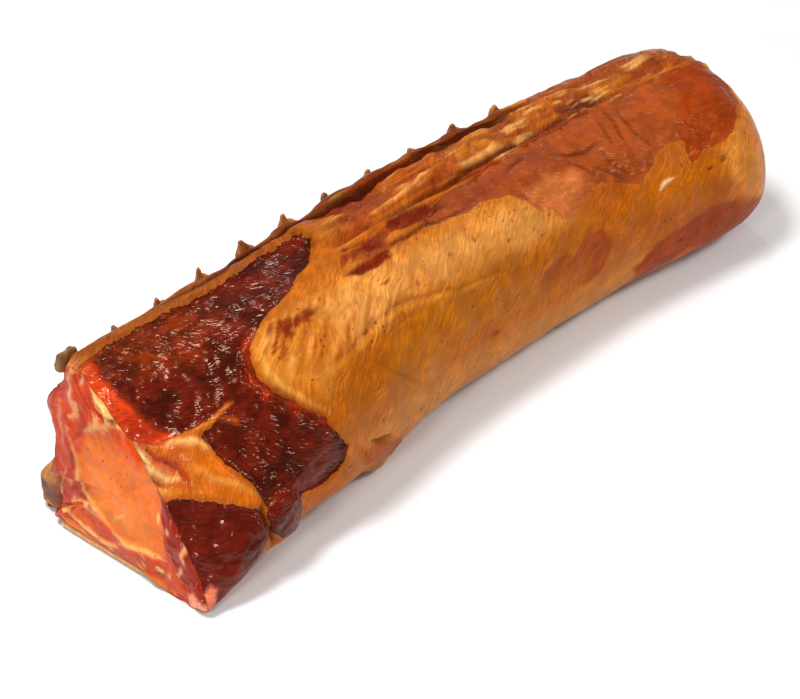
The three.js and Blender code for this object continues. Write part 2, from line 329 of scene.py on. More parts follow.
# The skin, laid out as (x, girth).
SKIN = [
    Patch("pale band", (190, 112, 34), 0.6, 14, 5,
          [(80, 34), (110, 24), (160, 22), (230, 24), (262, 30), (290, 50), (285, 60), (240, 62),
           (200, 58), (160, 52), (130, 58), (95, 60), (80, 50)]),
    Patch("lobe", (195, 114, 31), 2.0, 7, 3,
          [(80, 36), (98, 28), (116, 32), (122, 48), (114, 64), (98, 72), (84, 62), (78, 50)]),
    # a lighter middle of the pale band: paler fat with a painted sheen laid on it
    Patch("band pale fat and painted sheen", (210, 138, 62), 0.3, 10, 7,
          [(120, 30), (150, 26), (200, 30), (250, 36), (276, 52), (262, 58), (220, 50), (170, 44),
           (130, 48)]),
    Patch("deep gold", (179, 93, 3), 0, 8, 4,
          [(112, 60), (150, 54), (200, 60), (260, 60), (330, 60), (400, 58), (405, 72), (330, 78),
           (250, 74), (180, 80), (130, 82), (110, 72)]),
    Patch("low front", (192, 118, 46), 0, 16, 6,
          [(100, 96), (160, 92), (240, 92), (330, 96), (330, 150), (100, 150)]),
    Patch("glaze high", (160, 66, 3), -0.3, 1.4, 2.5,
          [(252, 80), (256, 74), (266, 71), (274, 70), (278, 75), (284, 69), (293, 65), (302, 67),
           (308, 76), (304, 84), (298, 90), (288, 96), (270, 94), (254, 88)]),
    Patch("glaze low", (177, 90, 8), -0.2, 6, 4,
          [(170, 82), (210, 80), (250, 82), (288, 84), (286, 98), (240, 98), (190, 94)]),
    Patch("rust patch", (150, 56, 12), -0.3, 1.8, 3,
          [(326, 103), (340, 95), (360, 90), (381, 86), (400, 92), (402, 104), (384, 109),
           (370, 110), (356, 114), (330, 116)]),
    Patch("rust foot", (151, 64, 18), 0, 6, 4,
          [(372, 108), (392, 98), (416, 92), (440, 92), (440, 150), (372, 150)]),
    Patch("far rim", (202, 122, 42), 0.4, 3, 4,
          [(392, 60), (408, 54), (420, 46), (428, 36), (434, 22), (437, 10), (448, 6), (448, 96),
           (412, 96), (396, 84)]),
    Patch("ridge strip", (150, 67, 6), 1.4, 3, 2.5,
          [(150, -22), (151, -10), (147, -3), (155, 3), (170, 3), (190, 0), (220, 2), (250, 0),
           (275, -2), (300, -4), (320, -6), (345, -12), (365, -12), (385, -8), (402, -5), (418, 1),
           (436, 6), (440, -40), (150, -40)]),
    Patch("ridge lump", (171, 95, 22), 1.6, 4, 3,
          [(150, -19), (166, -20), (174, -16), (176, -8), (168, -1), (154, 1), (150, -8)]),
    Patch("ridge lobe", (174, 84, 8), 1.6, 4, 3,
          [(204, -22), (226, -22), (244, -18), (243, -8), (230, -2), (206, -3)]),
    Patch("ridge fold", (190, 108, 25), 1.2, 4, 3,
          [(250, -20), (280, -20), (284, -10), (272, -4), (252, -5)]),
    Patch("ridge shreds", (171, 87, 17), 1.4, 4, 4,
          [(302, -22), (330, -22), (342, -16), (330, -10), (304, -8)]),
    Patch("ridge stain", (135, 41, 4), -1, 4, 3,
          [(164, -21), (196, -24), (214, -23), (200, -18), (186, -12), (172, -13)]),
    Patch("ridge stain far", (88, 12, 2), -0.6, 4, 3,
          [(330, -9), (345, -11), (360, -11), (364, -4), (345, -1), (326, -3)]),
    Patch("ridge gold far", (178, 94, 3), 0.6, 4, 3,
          [(364, -12), (384, -13), (388, -4), (366, -2)]),
    Patch("bare lean", (153, 68, 25), -0.8, 1.8, 2.2,
          [(203, 19), (222, 13), (240, 11), (258, 8), (278, 6), (300, 4), (322, 2), (345, 0),
           (372, 1), (396, 1), (410, 3), (422, 10), (431, 18), (433, 28), (427, 38), (416, 46),
           (409, 52), (400, 55), (390, 54), (381, 51), (374, 44), (362, 42), (352, 44), (345, 50),
           (336, 53), (326, 51), (318, 46), (306, 46), (297, 47), (291, 51), (284, 54), (277, 51),
           (275, 44), (266, 43), (261, 35), (254, 28), (238, 25), (220, 25), (206, 22)], lean=1),
    Patch("bare wedge", (138, 62, 32), 0, 7, 3,
          [(205, 18), (230, 13), (262, 9), (300, 8), (300, 20), (262, 22), (230, 24)], lean=1),
    Patch("bare pink", (188, 100, 47), 0.3, 4, 3,
          [(262, 30), (280, 29), (300, 32), (306, 40), (297, 46), (290, 51), (278, 51), (274, 44),
           (264, 42)], lean=1),
    Patch("bare end", (146, 54, 8), 0, 3, 3,
          [(398, 4), (430, 2), (436, 14), (427, 34), (416, 46), (404, 53), (372, 56), (374, 40),
           (392, 24)], lean=1),
    Patch("scorched edge", (130, 42, 3), 0, 3, 3,
          [(236, 12), (262, 8), (300, 5), (340, 2), (340, -1), (300, 1), (262, 3), (236, 6)]),
    Patch("stain 1", (112, 20, 2), -0.4, 2, 3,
          [(100, 31), (106, 29), (116, 29), (121, 31), (118, 34), (104, 37), (98, 39)]),
    Patch("stain 2", (100, 12, 2), -0.5, 1.4, 3, [(166, 10), (174, 10), (178, 16), (170, 16)]),
    Patch("stain 3", (108, 25, 2), -0.8, 1.6, 3,
          [(183, 9), (190, 5), (200, 6), (204, 10), (212, 8), (214, 14), (204, 17), (190, 16)]),
    Patch("stain 4", (116, 30, 2), -0.5, 1.6, 3,
          [(150, 22), (160, 20), (176, 20), (175, 25), (160, 26), (152, 27)]),
    Patch("dark lean", (84, 15, 3), -2.6, 1.6, 1.6,
          [(22, 3), (40, -3), (60, -6), (80, -8), (95, -10), (105, -13), (120, -16), (140, -17),
           (152, -18), (153, -10), (149, -4), (140, 3), (128, 9), (115, 15), (105, 19), (95, 23),
           (88, 28), (82, 34), (77, 42), (75, 50), (77, 58), (80, 65), (86, 72), (91, 80), (97, 90),
           (100, 98), (98, 108), (85, 113), (68, 112), (60, 105), (48, 106), (46, 98), (44, 88),
           (40, 80), (38, 70), (38, 61), (50, 58), (35, 56), (28, 54), (24, 48), (22, 38), (18, 25),
           (20, 12)], lean=1, wet=0.5),
    Patch("brown lean", (111, 34, 3), 0, 9, 4,
          [(24, 2), (60, -5), (82, -7), (84, 4), (64, 14), (58, 24), (36, 18),
           (24, 12)], lean=1, wet=0.3),
    Patch("front lean", (90, 14, 4), 0.5, 1.8, 1.5,
          [(-9, 76), (0, 74), (4, 73), (11, 78), (18, 82), (26, 89), (35, 96), (44, 103), (44, 119),
           (36, 127), (22, 131), (10, 134), (-9, 138)], lean=1, wet=0.8),
    Patch("rolled end", (84, 14, 3), 1.5, 2, 1.5,
          [(47, 108), (53, 105), (62, 106), (67, 110), (68, 119), (62, 127), (52, 126),
           (47, 118)], lean=1, wet=0.5),
    Patch("raw bevel", (192, 54, 12), -1.2, 4, 1.5,
          [(-9, 12), (2, 6), (12, 3), (22, 2), (20, 12), (18, 25), (22, 38), (24, 48), (29, 55),
           (22, 56), (14, 50), (8, 42), (0, 34), (-9, 30)], lean=1, wet=1),
    Patch("torn foot", (238, 124, 88), 1.2, 1.2, 2.2,
          [(-9, 130), (2, 129), (6, 126), (11, 123), (13, 126), (8, 131), (3, 135),
           (-9, 140)], lean=1, wet=1),
    Patch("layered fat", (195, 86, 16), 1.0, 2, 2.5,
          [(-9, 34), (2, 38), (10, 46), (16, 52), (26, 57), (38, 58), (38, 70), (40, 80), (30, 78),
           (16, 80), (4, 80), (-9, 76)], wet=0.8),
    Patch("fat wedge", (199, 97, 6), 2.0, 1.4, 1.2,
          [(16, 80), (22, 77), (26, 68), (34, 61), (39, 66), (40, 78), (44, 86), (47, 94),
           (47, 103), (42, 102), (36, 97), (28, 90)], wet=0.5),
    Patch("wet rim", (156, 24, 5), 1.4, 1.4, 2.2,
          [(-9, 54), (1, 58), (4, 66), (6, 74), (8, 82), (9, 90), (6, 100), (5, 112), (4, 122),
           (-9, 136)], lean=1, wet=1),
    Patch("ridge skin", (143, 73, 23), 0.8, 1.6, 1.2,
          [(-9, 0), (10, 1), (22, 0), (40, -4), (60, -7), (80, -9), (95, -11), (105, -14),
           (120, -17), (152, -19), (152, -40), (-9, -40)]),
    Patch("flap", (167, 78, 10), 1.6, 2, 1.5,
          [(108, 106), (118, 109), (130, 113), (142, 116), (146, 122), (140, 128), (126, 126),
           (112, 118)]),
]

FAR_CRACKS = [
    [(340, 8), (337, 18), (332, 30)],
    [(350, 5), (347, 16), (343, 24), (340, 33)],
    [(358, 8), (353, 18), (351, 28), (353, 39)],
    [(314, 36), (320, 42), (326, 49)],
    [(322, 34), (326, 41), (333, 50)],
    [(296, 18), (304, 24), (314, 26), (330, 24)],
    [(300, 26), (306, 32), (310, 40)],
    [(264, 17), (272, 14), (282, 12)],
]
SKIN_LINES = [
    # the crevice is sunk and painted near-black as its shade
    Line("crevice", 1.9, -3.2, CREVICE_SHADE, 0.95,
         [(178, 3), (200, 5), (228, 6), (250, 4), (270, 2), (292, 1), (312, -1), (334, -2),
          (356, -3)]),
    Line("dark streak", 1.4, -0.8, (84, 26, 12), 0.85,
         [(166, 23), (182, 20), (200, 20), (216, 23), (232, 25)]),
    Line("membrane seam", 1.1, -0.7, (158, 82, 16), 0.6,
         [(100, 60), (122, 57), (140, 51), (158, 48), (178, 51), (200, 57), (226, 60)]),
    Line("membrane rim", 1.6, 0.5, (214, 138, 42), 0.5,
         [(104, 63), (124, 60), (142, 54), (160, 51), (178, 54), (200, 60), (230, 63)]),
    Line("membrane seam inner", 0.8, -0.4, (150, 78, 18), 0.5,
         [(120, 72), (134, 66), (146, 58), (162, 55), (180, 58)]),
    Line("membrane fold", 0.8, -0.7, (146, 74, 16), 0.55,
         [(126, 62), (136, 72), (150, 84), (160, 92)]),
    Line("lobe glow", 3.0, -0.6, (168, 44, 6), 0.8,
         [(88, 27), (80, 33), (75, 42), (73, 50), (75, 59), (80, 67), (88, 77), (95, 86)]),
    Line("lobe foot", 1.0, -1.4, (84, 18, 5), 0.7,
         [(82, 30), (75, 38), (72, 50), (74, 59), (79, 68), (87, 78), (96, 90)]),
    Line("lobe rim", 1.4, 1.0, (238, 170, 76), 0.6,
         [(90, 33), (83, 40), (80, 50), (82, 60), (88, 70), (96, 80)]),
    Line("fat seam", 0.9, 0.8, (206, 110, 40), 0.8,
         [(28, 56), (40, 58), (50, 57), (56, 55), (60, 55)]),
    Line("seam nick", 1.8, 0.6, (176, 74, 22), 0.9, [(50, 58), (54, 62), (56, 65)]),
    Line("blood groove", 1.5, -2.2, (150, 22, 8), 0.9,
         [(8, 46), (13, 52), (17, 60), (22, 68), (23, 75), (22, 80)]),
    Line("cream layer 1", 2.2, 1.8, (252, 206, 128), 0.95,
         [(-9, 30), (-2, 36), (3, 41), (8, 47), (12, 54), (14, 62)]),
    Line("cream layer 2", 1.3, 1.4, (250, 196, 112), 0.95,
         [(-6, 37), (0, 41), (5, 48), (9, 56), (13, 65), (16, 71), (20, 73), (21, 70)]),
    Line("cream layer 3", 1.2, 0.9, (236, 160, 74), 0.8,
         [(-4, 44), (1, 48), (5, 57), (8, 66), (12, 74)]),
    Line("layer groove 1", 0.8, -1.8, (112, 22, 6), 0.9,
         [(-4, 37), (1, 41), (6, 48), (10, 55), (13, 61)]),
    Line("layer groove 2", 1.1, -2.0, (104, 20, 4), 0.9,
         [(-2, 42), (3, 48), (7, 57), (11, 67), (14, 75)]),
    Line("fat lump", 2.0, 1.4, (226, 142, 40), 0.8, [(8, 66), (9, 72), (14, 76), (18, 77)]),
    Line("cream fold", 1.6, 1.4, (246, 180, 96), 0.85, [(24, 56), (30, 59), (36, 63), (38, 70)]),
    Line("wedge fold", 1.2, 0.8, (236, 156, 60), 0.7, [(28, 70), (32, 80), (40, 90), (45, 98)]),
    Line("red ridge", 1.6, 1.0, (226, 96, 40), 0.7, [(9, 26), (9, 16), (12, 8), (20, 4)]),
    *(Line("far crack", 1.0, -1.1, (84, 28, 12), 0.75, points) for points in FAR_CRACKS),
    Line("ridge crease", 0.9, -1.0, (130, 52, 16), 0.7, [(256, -2), (262, -9), (270, -16)]),
    Line("ridge fold line", 1.0, -1.0, (140, 60, 18), 0.6,
         [(196, -1), (214, -5), (232, -10), (246, -18)]),
    Line("ridge shadow", 1.6, -1.0, (52, 20, 10), 0.85,
         [(66, -13), (84, -15), (100, -17), (120, -21), (140, -24), (160, -25)]),
    # the pocket above the flap is sunk and painted dark as its shade
    Line("pocket", 1.4, -2.2, (96, 34, 10), 0.7, [(117, 106), (124, 110), (134, 111)]),
    # the roll crease is sunk and painted near-black as its shade
    Line("roll crease", 1.2, -2.5, (50, 12, 8), 0.85, [(45, 100), (45, 110), (46, 120), (48, 128)]),
    # a short pale streak on the far fat: a painted highlight
    Line("painted highlight streak", 1.0, 0.4, (244, 206, 140), 0.9, [(345, 62), (350, 60), (357, 59)]),
]

# The cut end, laid out as (y, z).
EYE_OUTLINE = [
    (19, 58), (8, 64), (-4, 70), (-16, 68), (-24, 60), (-31, 50), (-33, 38), (-35, 28), (-38, 18),
    (-30, 14), (-14, 14), (-4, 16), (6, 20), (16, 26), (21, 34), (22, 46),
]
FACE = [
    Patch("red border", (204, 62, 21), 0, 3, 1,
          [(60, -5), (60, 100), (-80, 100), (-80, -5)], wet=0.8),
    Patch("side band", (192, 57, 24), 0.6, 2, 1.5,
          [(44, 96), (30, 92), (24, 80), (27, 66), (28, 54), (24, 42), (24, 28), (29, 12),
           (44, 8)], wet=0.8),
    Patch("eye", (231, 110, 35), -0.8, 1.6, 1.6, EYE_OUTLINE, wet=0.5),
    Patch("eye glow", (234, 123, 48), 0, 8, 2,
          [(14, 40), (4, 44), (-18, 34), (-30, 22), (-20, 16), (0, 20), (12, 28)], wet=0.5),
    Patch("eye top", (214, 70, 7), -0.6, 5, 2,
          [(12, 64), (-4, 71), (-18, 70), (-26, 60), (-16, 56), (0, 58)], wet=0.6),
    Patch("upper fat", (231, 119, 44), 1.6, 2.5, 2.5,
          [(31, 93), (22, 91), (16, 84), (12, 76), (2, 72), (-6, 72), (-12, 76), (-12, 100),
           (30, 100)], wet=0.8),
    Patch("rib marrow", (210, 85, 29), 0.4, 1.5, 1.2,
          [(26, 15), (18, 19), (10, 18), (4, 14), (4, 9), (14, 9), (26, 11)], wet=0.6),
    Patch("foot strip", (224, 123, 47), 0.5, 1.5, 1.5,
          [(30, 9), (20, 7), (6, 4), (-10, 4), (-24, 5), (-40, 4), (-40, -4), (30, -4)], wet=0.6),
    Patch("low meat", (198, 62, 22), 0.4, 2.5, 1.5,
          [(-2, 13), (-20, 12), (-38, 14), (-52, 12), (-60, 4), (-44, 5), (-24, 7),
           (-6, 6)], wet=0.8),
    Patch("wet edge", (150, 30, 10), 1.4, 1.6, 2.2,
          [(-16, 68), (-25, 61), (-31, 50), (-34, 38), (-38, 25), (-46, 12), (-70, 4), (-70, 40),
           (-40, 68)], wet=1),
    Patch("torn corner", (250, 157, 119), 1.0, 2, 1.5,
          [(-54, 6), (-58, 9), (-66, 6), (-66, -3), (-56, -3)], wet=1),
]
FACE_LINES = [
    Line("fat line side", 1.5, 0.7, CREAM, 0.85,
         [(28, 52), (24, 46), (22, 36), (22, 28), (19, 25), (12, 23), (4, 20), (-4, 15)]),
    Line("fat line foot", 1.2, 0.5, (244, 196, 112), 0.75,
         [(-4, 15), (-14, 13), (-26, 15), (-38, 16)]),
    Line("fat line top", 1.6, 0.8, CREAM, 0.8, [(22, 58), (16, 62), (10, 66), (0, 73), (-8, 72)]),
    Line("band streak 1", 1.3, 0.6, (238, 176, 112), 0.75,
         [(31, 90), (30, 80), (28, 72), (27, 66)]),
    Line("band streak 2", 1.0, 0.5, (226, 140, 90), 0.65, [(37, 74), (35, 64), (33, 54), (33, 44)]),
    Line("band streak 3", 0.9, -0.6, (140, 26, 18), 0.6, [(36, 84), (38, 74), (40, 66)]),
    Line("band groove", 1.4, -1.2, (150, 30, 18), 0.6, [(24, 70), (20, 62), (24, 54), (27, 50)]),
    Line("rib rim upper", 0.9, 0.5, (242, 186, 116), 0.8, [(27, 16), (20, 20), (12, 20), (4, 17)]),
    Line("rib rim lower", 1.1, 0.6, (246, 200, 124), 0.85,
         [(28, 11), (20, 9), (12, 8), (4, 7), (-6, 8), (-10, 12)]),
    Line("eye vein", 0.6, 0.2, (252, 196, 110), 0.7, [(-2, 21), (-6, 24), (-10, 27)]),
    Line("eye fleck", 0.8, 0.2, (246, 200, 120), 0.8, [(-31, 39), (-31, 33)]),
    Line("face layer 1", 1.5, 1.4, (252, 200, 120), 0.9,
         [(17, 84), (12, 79), (6, 76), (-4, 76), (-14, 77)]),
    Line("face layer 2", 1.2, 1.0, (248, 188, 104), 0.85,
         [(16, 78), (12, 75), (6, 72), (-3, 72), (-12, 72)]),
    Line("face groove", 0.8, -1.0, (150, 34, 12), 0.8, [(15, 80), (8, 75), (2, 74), (-10, 74)]),
    Line("upper crease", 1.4, -1.2, (190, 50, 20), 0.7, [(22, 84), (19, 76), (14, 72), (8, 70)]),
]


# ---- painting and carving -------------------------------------------------------------------
class Coat:
    """The look and relief of a set of points: the colour of the fat and that of the meat at
    each place, which of the two shows, the height above the plain body and how wet it is."""

    def __init__(self, places, colour):
        self.places = places
        count = len(places)
        self.fat = np.tile(linear(colour), (count, 1))
        self.meat = self.fat.copy()
        self.height = np.zeros(count)
        self.lean = np.zeros(count)
        self.wet = np.zeros(count)

    def blend(self, amount, colour=None, lean=None, wet=None):
        """Moves each look towards the given one by amount, from 0 to 1."""
        if colour is not None:
            self.fat += amount[:, None] * (linear(colour) - self.fat)
            self.meat += amount[:, None] * (linear(colour) - self.meat)
        if lean is not None:
            self.lean += amount * (lean - self.lean)
        if wet is not None:
            self.wet += amount * (wet - self.wet)

    def lay_patches(self, patches, u, v, where=1.0):
        """Lays each patch over the last: its weight is a smooth step of the depth inside its
        outline, which a noise of the place makes wander. Under the other of fat and meat its
        colour reaches further out, so that the edge between the two stays clean."""
        for index, patch in enumerate(patches):
            edge, lean = patch.edge, patch.lean
            wander = patch.wander * fractal(self.places, 9.0, seed=40 + index)
            depth = depth_inside(u, v, patch.outline) + wander
            weight = smooth(-edge, edge, depth) * where
            spread = smooth(-edge - 5, -edge, depth) * where
            covered = 1 - self.lean if lean else self.lean
            amount = (weight + (spread - weight) * covered)[:, None]
            layer = self.meat if lean else self.fat
            layer += amount * (linear(patch.colour) - layer)
            self.blend(weight, None, lean, patch.wet)
            self.height += weight * (patch.height - self.height * (patch.height < 0))

    def lay_lines(self, lines, u, v, where=1.0):
        """Draws each line with a bell-shaped cross-section that thins out at its ends."""
        for index, line in enumerate(lines):
            sway = 1.2 * fractal(self.places, 7.0, seed=80 + index, octaves=2)
            away, along = distance_to_line(u, v + sway, line.points)
            taper = np.sin(np.pi * np.clip(along, 0.03, 0.97)) ** 0.35
            bell = np.exp(-((away / (line.width * taper + 0.05)) ** 2)) * where
            self.blend(bell * line.strength * taper, line.colour)
            self.height += bell * line.depth * taper

    def shade(self, factor):
        """Multiplies both colours."""
        self.fat *= factor[:, None]
        self.meat *= factor[:, None]


def spots(places, size, seed, plenty):
    """1 inside scattered round spots of the given size, which grow wider and more frequent as
    plenty rises from 0 to 1."""
    value = noise(places, size, seed) + 0.35 * noise(places, size * 0.5, seed + 1)
    return smooth(1 - plenty, 1 - plenty + 0.12, value)


# The frame's zero lies under the middle of the whole part; here it is in the loin's millimetres.
MIDDLE = np.array([221.4, -4.15, 0.0])
ORIGIN = -0.001 * MIDDLE


def to_frame(points):
    """Places in the loin's millimetres, as the frame's metres."""
    return np.asarray(points) * 0.001 + ORIGIN


def to_loin(points):
    """Places in the frame's metres, as the loin's millimetres."""
    return (points - ORIGIN) * 1000


def bone_middles(kind):
    """The middle of the box of each bone of a kind, in order, in the loin's millimetres."""
    boxes = [np.array(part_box(name)) for name in bone_names(kind)]
    return np.array([to_loin(box.sum(axis=0) / 2) for box in boxes])


def bone_names(kind):
    return sorted(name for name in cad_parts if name.startswith(kind))


SPINE_X = bone_middles("vertebra")[:, 0]
RIBS = bone_middles("rib")


def from_spine(x):
    """How far along the loin the nearest spine is."""
    return np.abs(x[:, None] - SPINE_X[None, :]).min(axis=1)


def carve_skin(points, normals, g):
    """The coat of the skin: the visible top and front, the split back and the underside."""
    flat = points.reshape(-1, 3)
    x, y, z = flat.T
    g = g.ravel()
    coat = Coat(flat, AMBER)
    coat.blend(0.5 + 0.5 * fractal(flat, 60, seed=3), (176, 92, 16))
    top = smooth(-50, -36, g)
    coat.lay_patches(SKIN, x, g, top)
    coat.lay_lines(SKIN_LINES, x, g, top)
    fat = 1 - coat.lean

    # brown pits and stains in the fat
    high = between(16, 24, 50, 62, g) * between(80, 100, 260, 300, x)
    pits = spots(flat, 3.2, 11, 0.22) * high * fat
    coat.blend(0.75 * pits, (128, 48, 16))
    coat.height -= 0.5 * pits
    # streaks along the ridge and where the fat thins out above the back muscle
    stretched = flat * np.array([0.16, 1.0, 1.0])
    streaks = fractal(stretched, 3.4, seed=21)
    ridge = smooth(16, 4, g) * smooth(150, 175, x) * fat
    coat.blend(smooth(0.05, 0.4, streaks) * ridge * 0.7, (128, 46, 10))
    coat.blend(smooth(0.15, 0.6, -streaks) * ridge * 0.6, (240, 178, 96))
    coat.height -= 1.6 * streaks * ridge
    band = between(0, 6, 20, 26, g) * between(145, 165, 230, 270, x)
    torn = smooth(0.0, 0.35, streaks) * band
    coat.blend(torn * 0.75, (116, 38, 14))
    coat.height -= torn
    # fine hairs of the fat cover and rust-red dashes beside the lobe, all on one slant
    slanted = np.stack([0.16 * (x - g), x + g, 0 * x], -1)
    hairs = fractal(slanted, 3.0, seed=25, octaves=2)
    hairy = between(22, 28, 54, 66, g) * between(80, 90, 150, 210, x) * fat
    coat.blend(smooth(0.05, 0.45, hairs) * hairy * 0.45, (232, 158, 78))
    coat.blend(smooth(0.05, 0.45, -hairs) * hairy * 0.45, (158, 76, 16))
    coat.height += 0.3 * hairs * hairy
    dashed = bell_at(x, g, 106, 32, 12, 5) + 0.7 * bell_at(x, g, 152, 14, 20, 5)
    dashed += 0.6 * bell_at(x, g, 92, 42, 6, 8)
    dashes = smooth(0.0, 0.3, fractal(slanted, 2.4, seed=26, octaves=2) + 1.3 * dashed - 0.65)
    coat.blend(dashes * fat * 0.8, (132, 36, 4))
    # dark, scorched blots where the fat thins out above the back muscle
    blotted = bell_at(x, g, 197, 8, 17, 6) + bell_at(x, g, 168, 14, 15, 5)
    blotted += 0.8 * bell_at(x, g, 160, 24, 16, 3) + 0.7 * bell_at(x, g, 182, -14, 18, 5)
    blots = smooth(0.0, 0.2, fractal(flat * np.array([0.55, 1, 1]), 6, seed=28) + blotted - 0.6)
    coat.blend(blots * fat * 0.85, (104, 24, 3))
    coat.height -= 0.6 * blots * fat
    # the wide fat shoulder turns golden and glassy lower down
    golden = smooth(52, 62, g + 6 * fractal(flat, 24, seed=27)) * smooth(96, 84, g)
    golden = golden * between(100, 130, 240, 300, x) * fat
    coat.blend(golden * 0.5, (178, 104, 6))
    # lumps of the fat cover
    coat.height += 0.9 * fractal(flat, 26, seed=5) * fat
    coat.height += 0.35 * fractal(flat, 7, seed=6) * fat
    knobs = between(-26, -16, -4, 6, g) * smooth(150, 180, x)
    coat.height += knobs * (2.0 * fractal(flat, 12, seed=7) + 1.1 * fractal(flat, 5, seed=17))
    coat.blend(knobs * 0.6, wet=0.45)
    # fibres of the bare meat
    grain = fractal(flat * np.array([0.35, 1.0, 1.0]), 2.6, seed=8, octaves=2)
    coat.height += 0.35 * grain * coat.lean
    coat.height += 0.7 * fractal(flat, 14, seed=9) * coat.lean
    # the near shoulder falls away to the layers of the cut end
    bevel = smooth(24, -2, x) * between(-2, 10, 74, 86, g)
    coat.height -= 1.5 * bevel
    red = bell_at(x, g, 12, 44, 16, 10) * coat.wet * coat.lean
    coat.blend(red * 0.75, (138, 26, 6))
    coat.blend(bell_at(x, g, 6, 12, 7, 9) * coat.wet * coat.lean * 0.6, (232, 96, 34))
    # and its corner at the ridge is broken off round the first spine
    corner = smooth(20, 10, x) * between(-26, -16, 0, 8, g)
    coat.height -= 4.5 * corner
    coat.blend(corner * 0.8, (206, 116, 62), wet=0.8)

    # the skin ends at a thin edge behind the ridge, painted near-black as shade, and sags between
    # the spines
    sag = 4 * between(165, 200, 280, 330, x)
    behind = smooth(-20.5, -22.5, g - sag + 1.5 * fractal(flat, 8, seed=14)) * smooth(330, 300, x)
    # painted shade: a near-black strip where the skin turns away behind the ridge
    coat.blend(behind * smooth(-30, -24, g) * 0.9, (52, 10, 3))
    coat.blend(behind * smooth(-24, -34, g), (110, 44, 16))
    coat.blend(behind * smooth(-34, -28, g), wet=-0.4)
    coat.height -= behind * (1.2 + smooth(4, 11, from_spine(x)))
    paint_back(coat, x, z, smooth(-34, -46, g) * (z > 0.5))
    paint_underside(coat, x, y, z, normals.reshape(-1, 3)[:, 2])
    coat.shade(1 + 0.10 * fractal(flat, 5, seed=12) + 0.10 * fractal(flat, 18, seed=13))
    return coat


def bell_at(x, g, middle_x, middle_g, along, around):
    """A soft spot on the skin: 1 in its middle, falling off over the two given lengths."""
    return np.exp(-(((x - middle_x) / along) ** 2) - ((g - middle_g) / around) ** 2)


def paint_back(coat, x, z, amount):
    """The split side: red-brown meat between the bones, fat near the ridge and at the foot."""
    flat = coat.places
    wander = 6 * fractal(flat, 16, seed=31)
    coat.blend(amount, (122, 50, 24), lean=0.7, wet=0.2)
    tan = smooth(74, 88, z + wander) + smooth(34, 26, z + wander)
    coat.blend(amount * np.clip(tan, 0, 1), (178, 108, 52), lean=0.1)
    streak = fractal(flat * np.array([0.5, 1, 0.3]), 5, seed=32)
    coat.blend(amount * smooth(0.1, 0.5, streak) * 0.6, (206, 142, 76), lean=0.0)
    coat.blend(amount * smooth(0.15, 0.6, -streak) * 0.6, (74, 24, 12))
    coat.height += amount * (fractal(flat, 9, seed=33) + 0.8 * streak)
    coat.height -= amount * 1.8 * smooth(6, 12, from_spine(x)) * smooth(30, 40, z)


def paint_underside(coat, x, y, z, up):
    """The rib side: smoked membrane over the ribs, darker meat between them, fat at the rims,
    and bare meat past the last rib."""
    flat = coat.places
    amount = smooth(-0.5, -0.9, up) * smooth(6, 2, z)
    coat.blend(amount, (164, 92, 42), lean=0.2)
    coat.blend(amount * smooth(0.0, 0.5, fractal(flat, 22, seed=35)), (196, 128, 60))
    coat.blend(amount * smooth(0.1, 0.5, fractal(flat, 12, seed=36)) * 0.7, (120, 48, 22), lean=0.6)
    nearest = np.abs(x[:, None] - RIBS[None, :, 0] - RIB_SLOPE * (RIBS[None, :, 1] - y[:, None]))
    beside = nearest.min(axis=1)
    last_rib = RIBS[-1, 0]
    ribbed = amount * between(-37, -30, 38, 44, y) * smooth(last_rib + 16, last_rib + 8, x)
    coat.blend(ribbed * smooth(7, 9, beside) * 0.7, (112, 44, 22), lean=0.8)
    coat.height -= ribbed * 1.6 * smooth(6.6, 5.0, beside)
    bare = amount * smooth(40, 70, x - last_rib)
    from_middle = np.abs(y - 8 + 5 * noise(flat, 40, 37))
    coat.blend(bare * smooth(26, 14, from_middle), (124, 50, 26), lean=1)


def carve_face(points, reach):
    """The coat of the cut end; reach runs from 0 at its middle to 1 at its rim."""
    flat = points.reshape(-1, 3)
    _, y, z = flat.T
    coat = Coat(flat, (196, 62, 26))
    coat.lay_patches(FACE, y, z)
    coat.lay_lines(FACE_LINES, y, z)
    # fat flecks in the red border and coarse grain of the eye
    border = 1 - smooth(-3, 3, depth_inside(y, z, EYE_OUTLINE))
    fleck = fractal(flat * np.array([1, 1, 0.6]), 5, seed=51)
    coat.blend(border * smooth(0.28, 0.5, fleck) * 0.7, (240, 176, 110))
    coat.blend(border * smooth(0.25, 0.55, -fleck) * 0.6, (140, 24, 14))
    coat.height += border * (1.4 * fractal(flat, 8, seed=52) + 0.8 * fleck)
    grain = fractal(flat, 3, seed=53)
    coat.height += (1 - border) * (0.7 * fractal(flat, 20, seed=54) + 0.15 * grain)
    coat.shade(1 + 0.07 * grain + 0.06 * fractal(flat, 12, seed=55))
    coat.height *= between(0.0, 0.15, 0.93, 1.0, reach.ravel())
    return coat


# ---- the loin as one closed surface ---------------------------------------------------------
# side of the loin (-1 in front, 1 behind), x, z, how far it stands out, reach along and up
LUMPS = (
    (-1, 58, 12, 3.0, 9, 14),
    (-1, 133, 7, 7.0, 11, 5),
    (-1, 150, 12, 1.5, 16, 8),
    (-1, 22, 20, 1.5, 16, 20),
    (1, 4, 65, 5.5, 8, 8),
    (1, 0, 38, -4.0, 14, 16),
)


def lumps(points):
    """Soft lumps and hollows of the sides, each a bell about its place: the rolled end of the
    side muscle, the hanging flap, the corner muscle, and the swollen and the sunk band of lean
    on the split side of the cut end."""
    x, y, z = np.moveaxis(points, -1, 0)
    total = np.zeros(x.shape)
    for side, lump_x, lump_z, out, along, up in LUMPS:
        bell = np.exp(-(((x - lump_x) / along) ** 2) - ((z - lump_z) / up) ** 2)
        total += out * bell * (np.sign(y) == side)
    return total


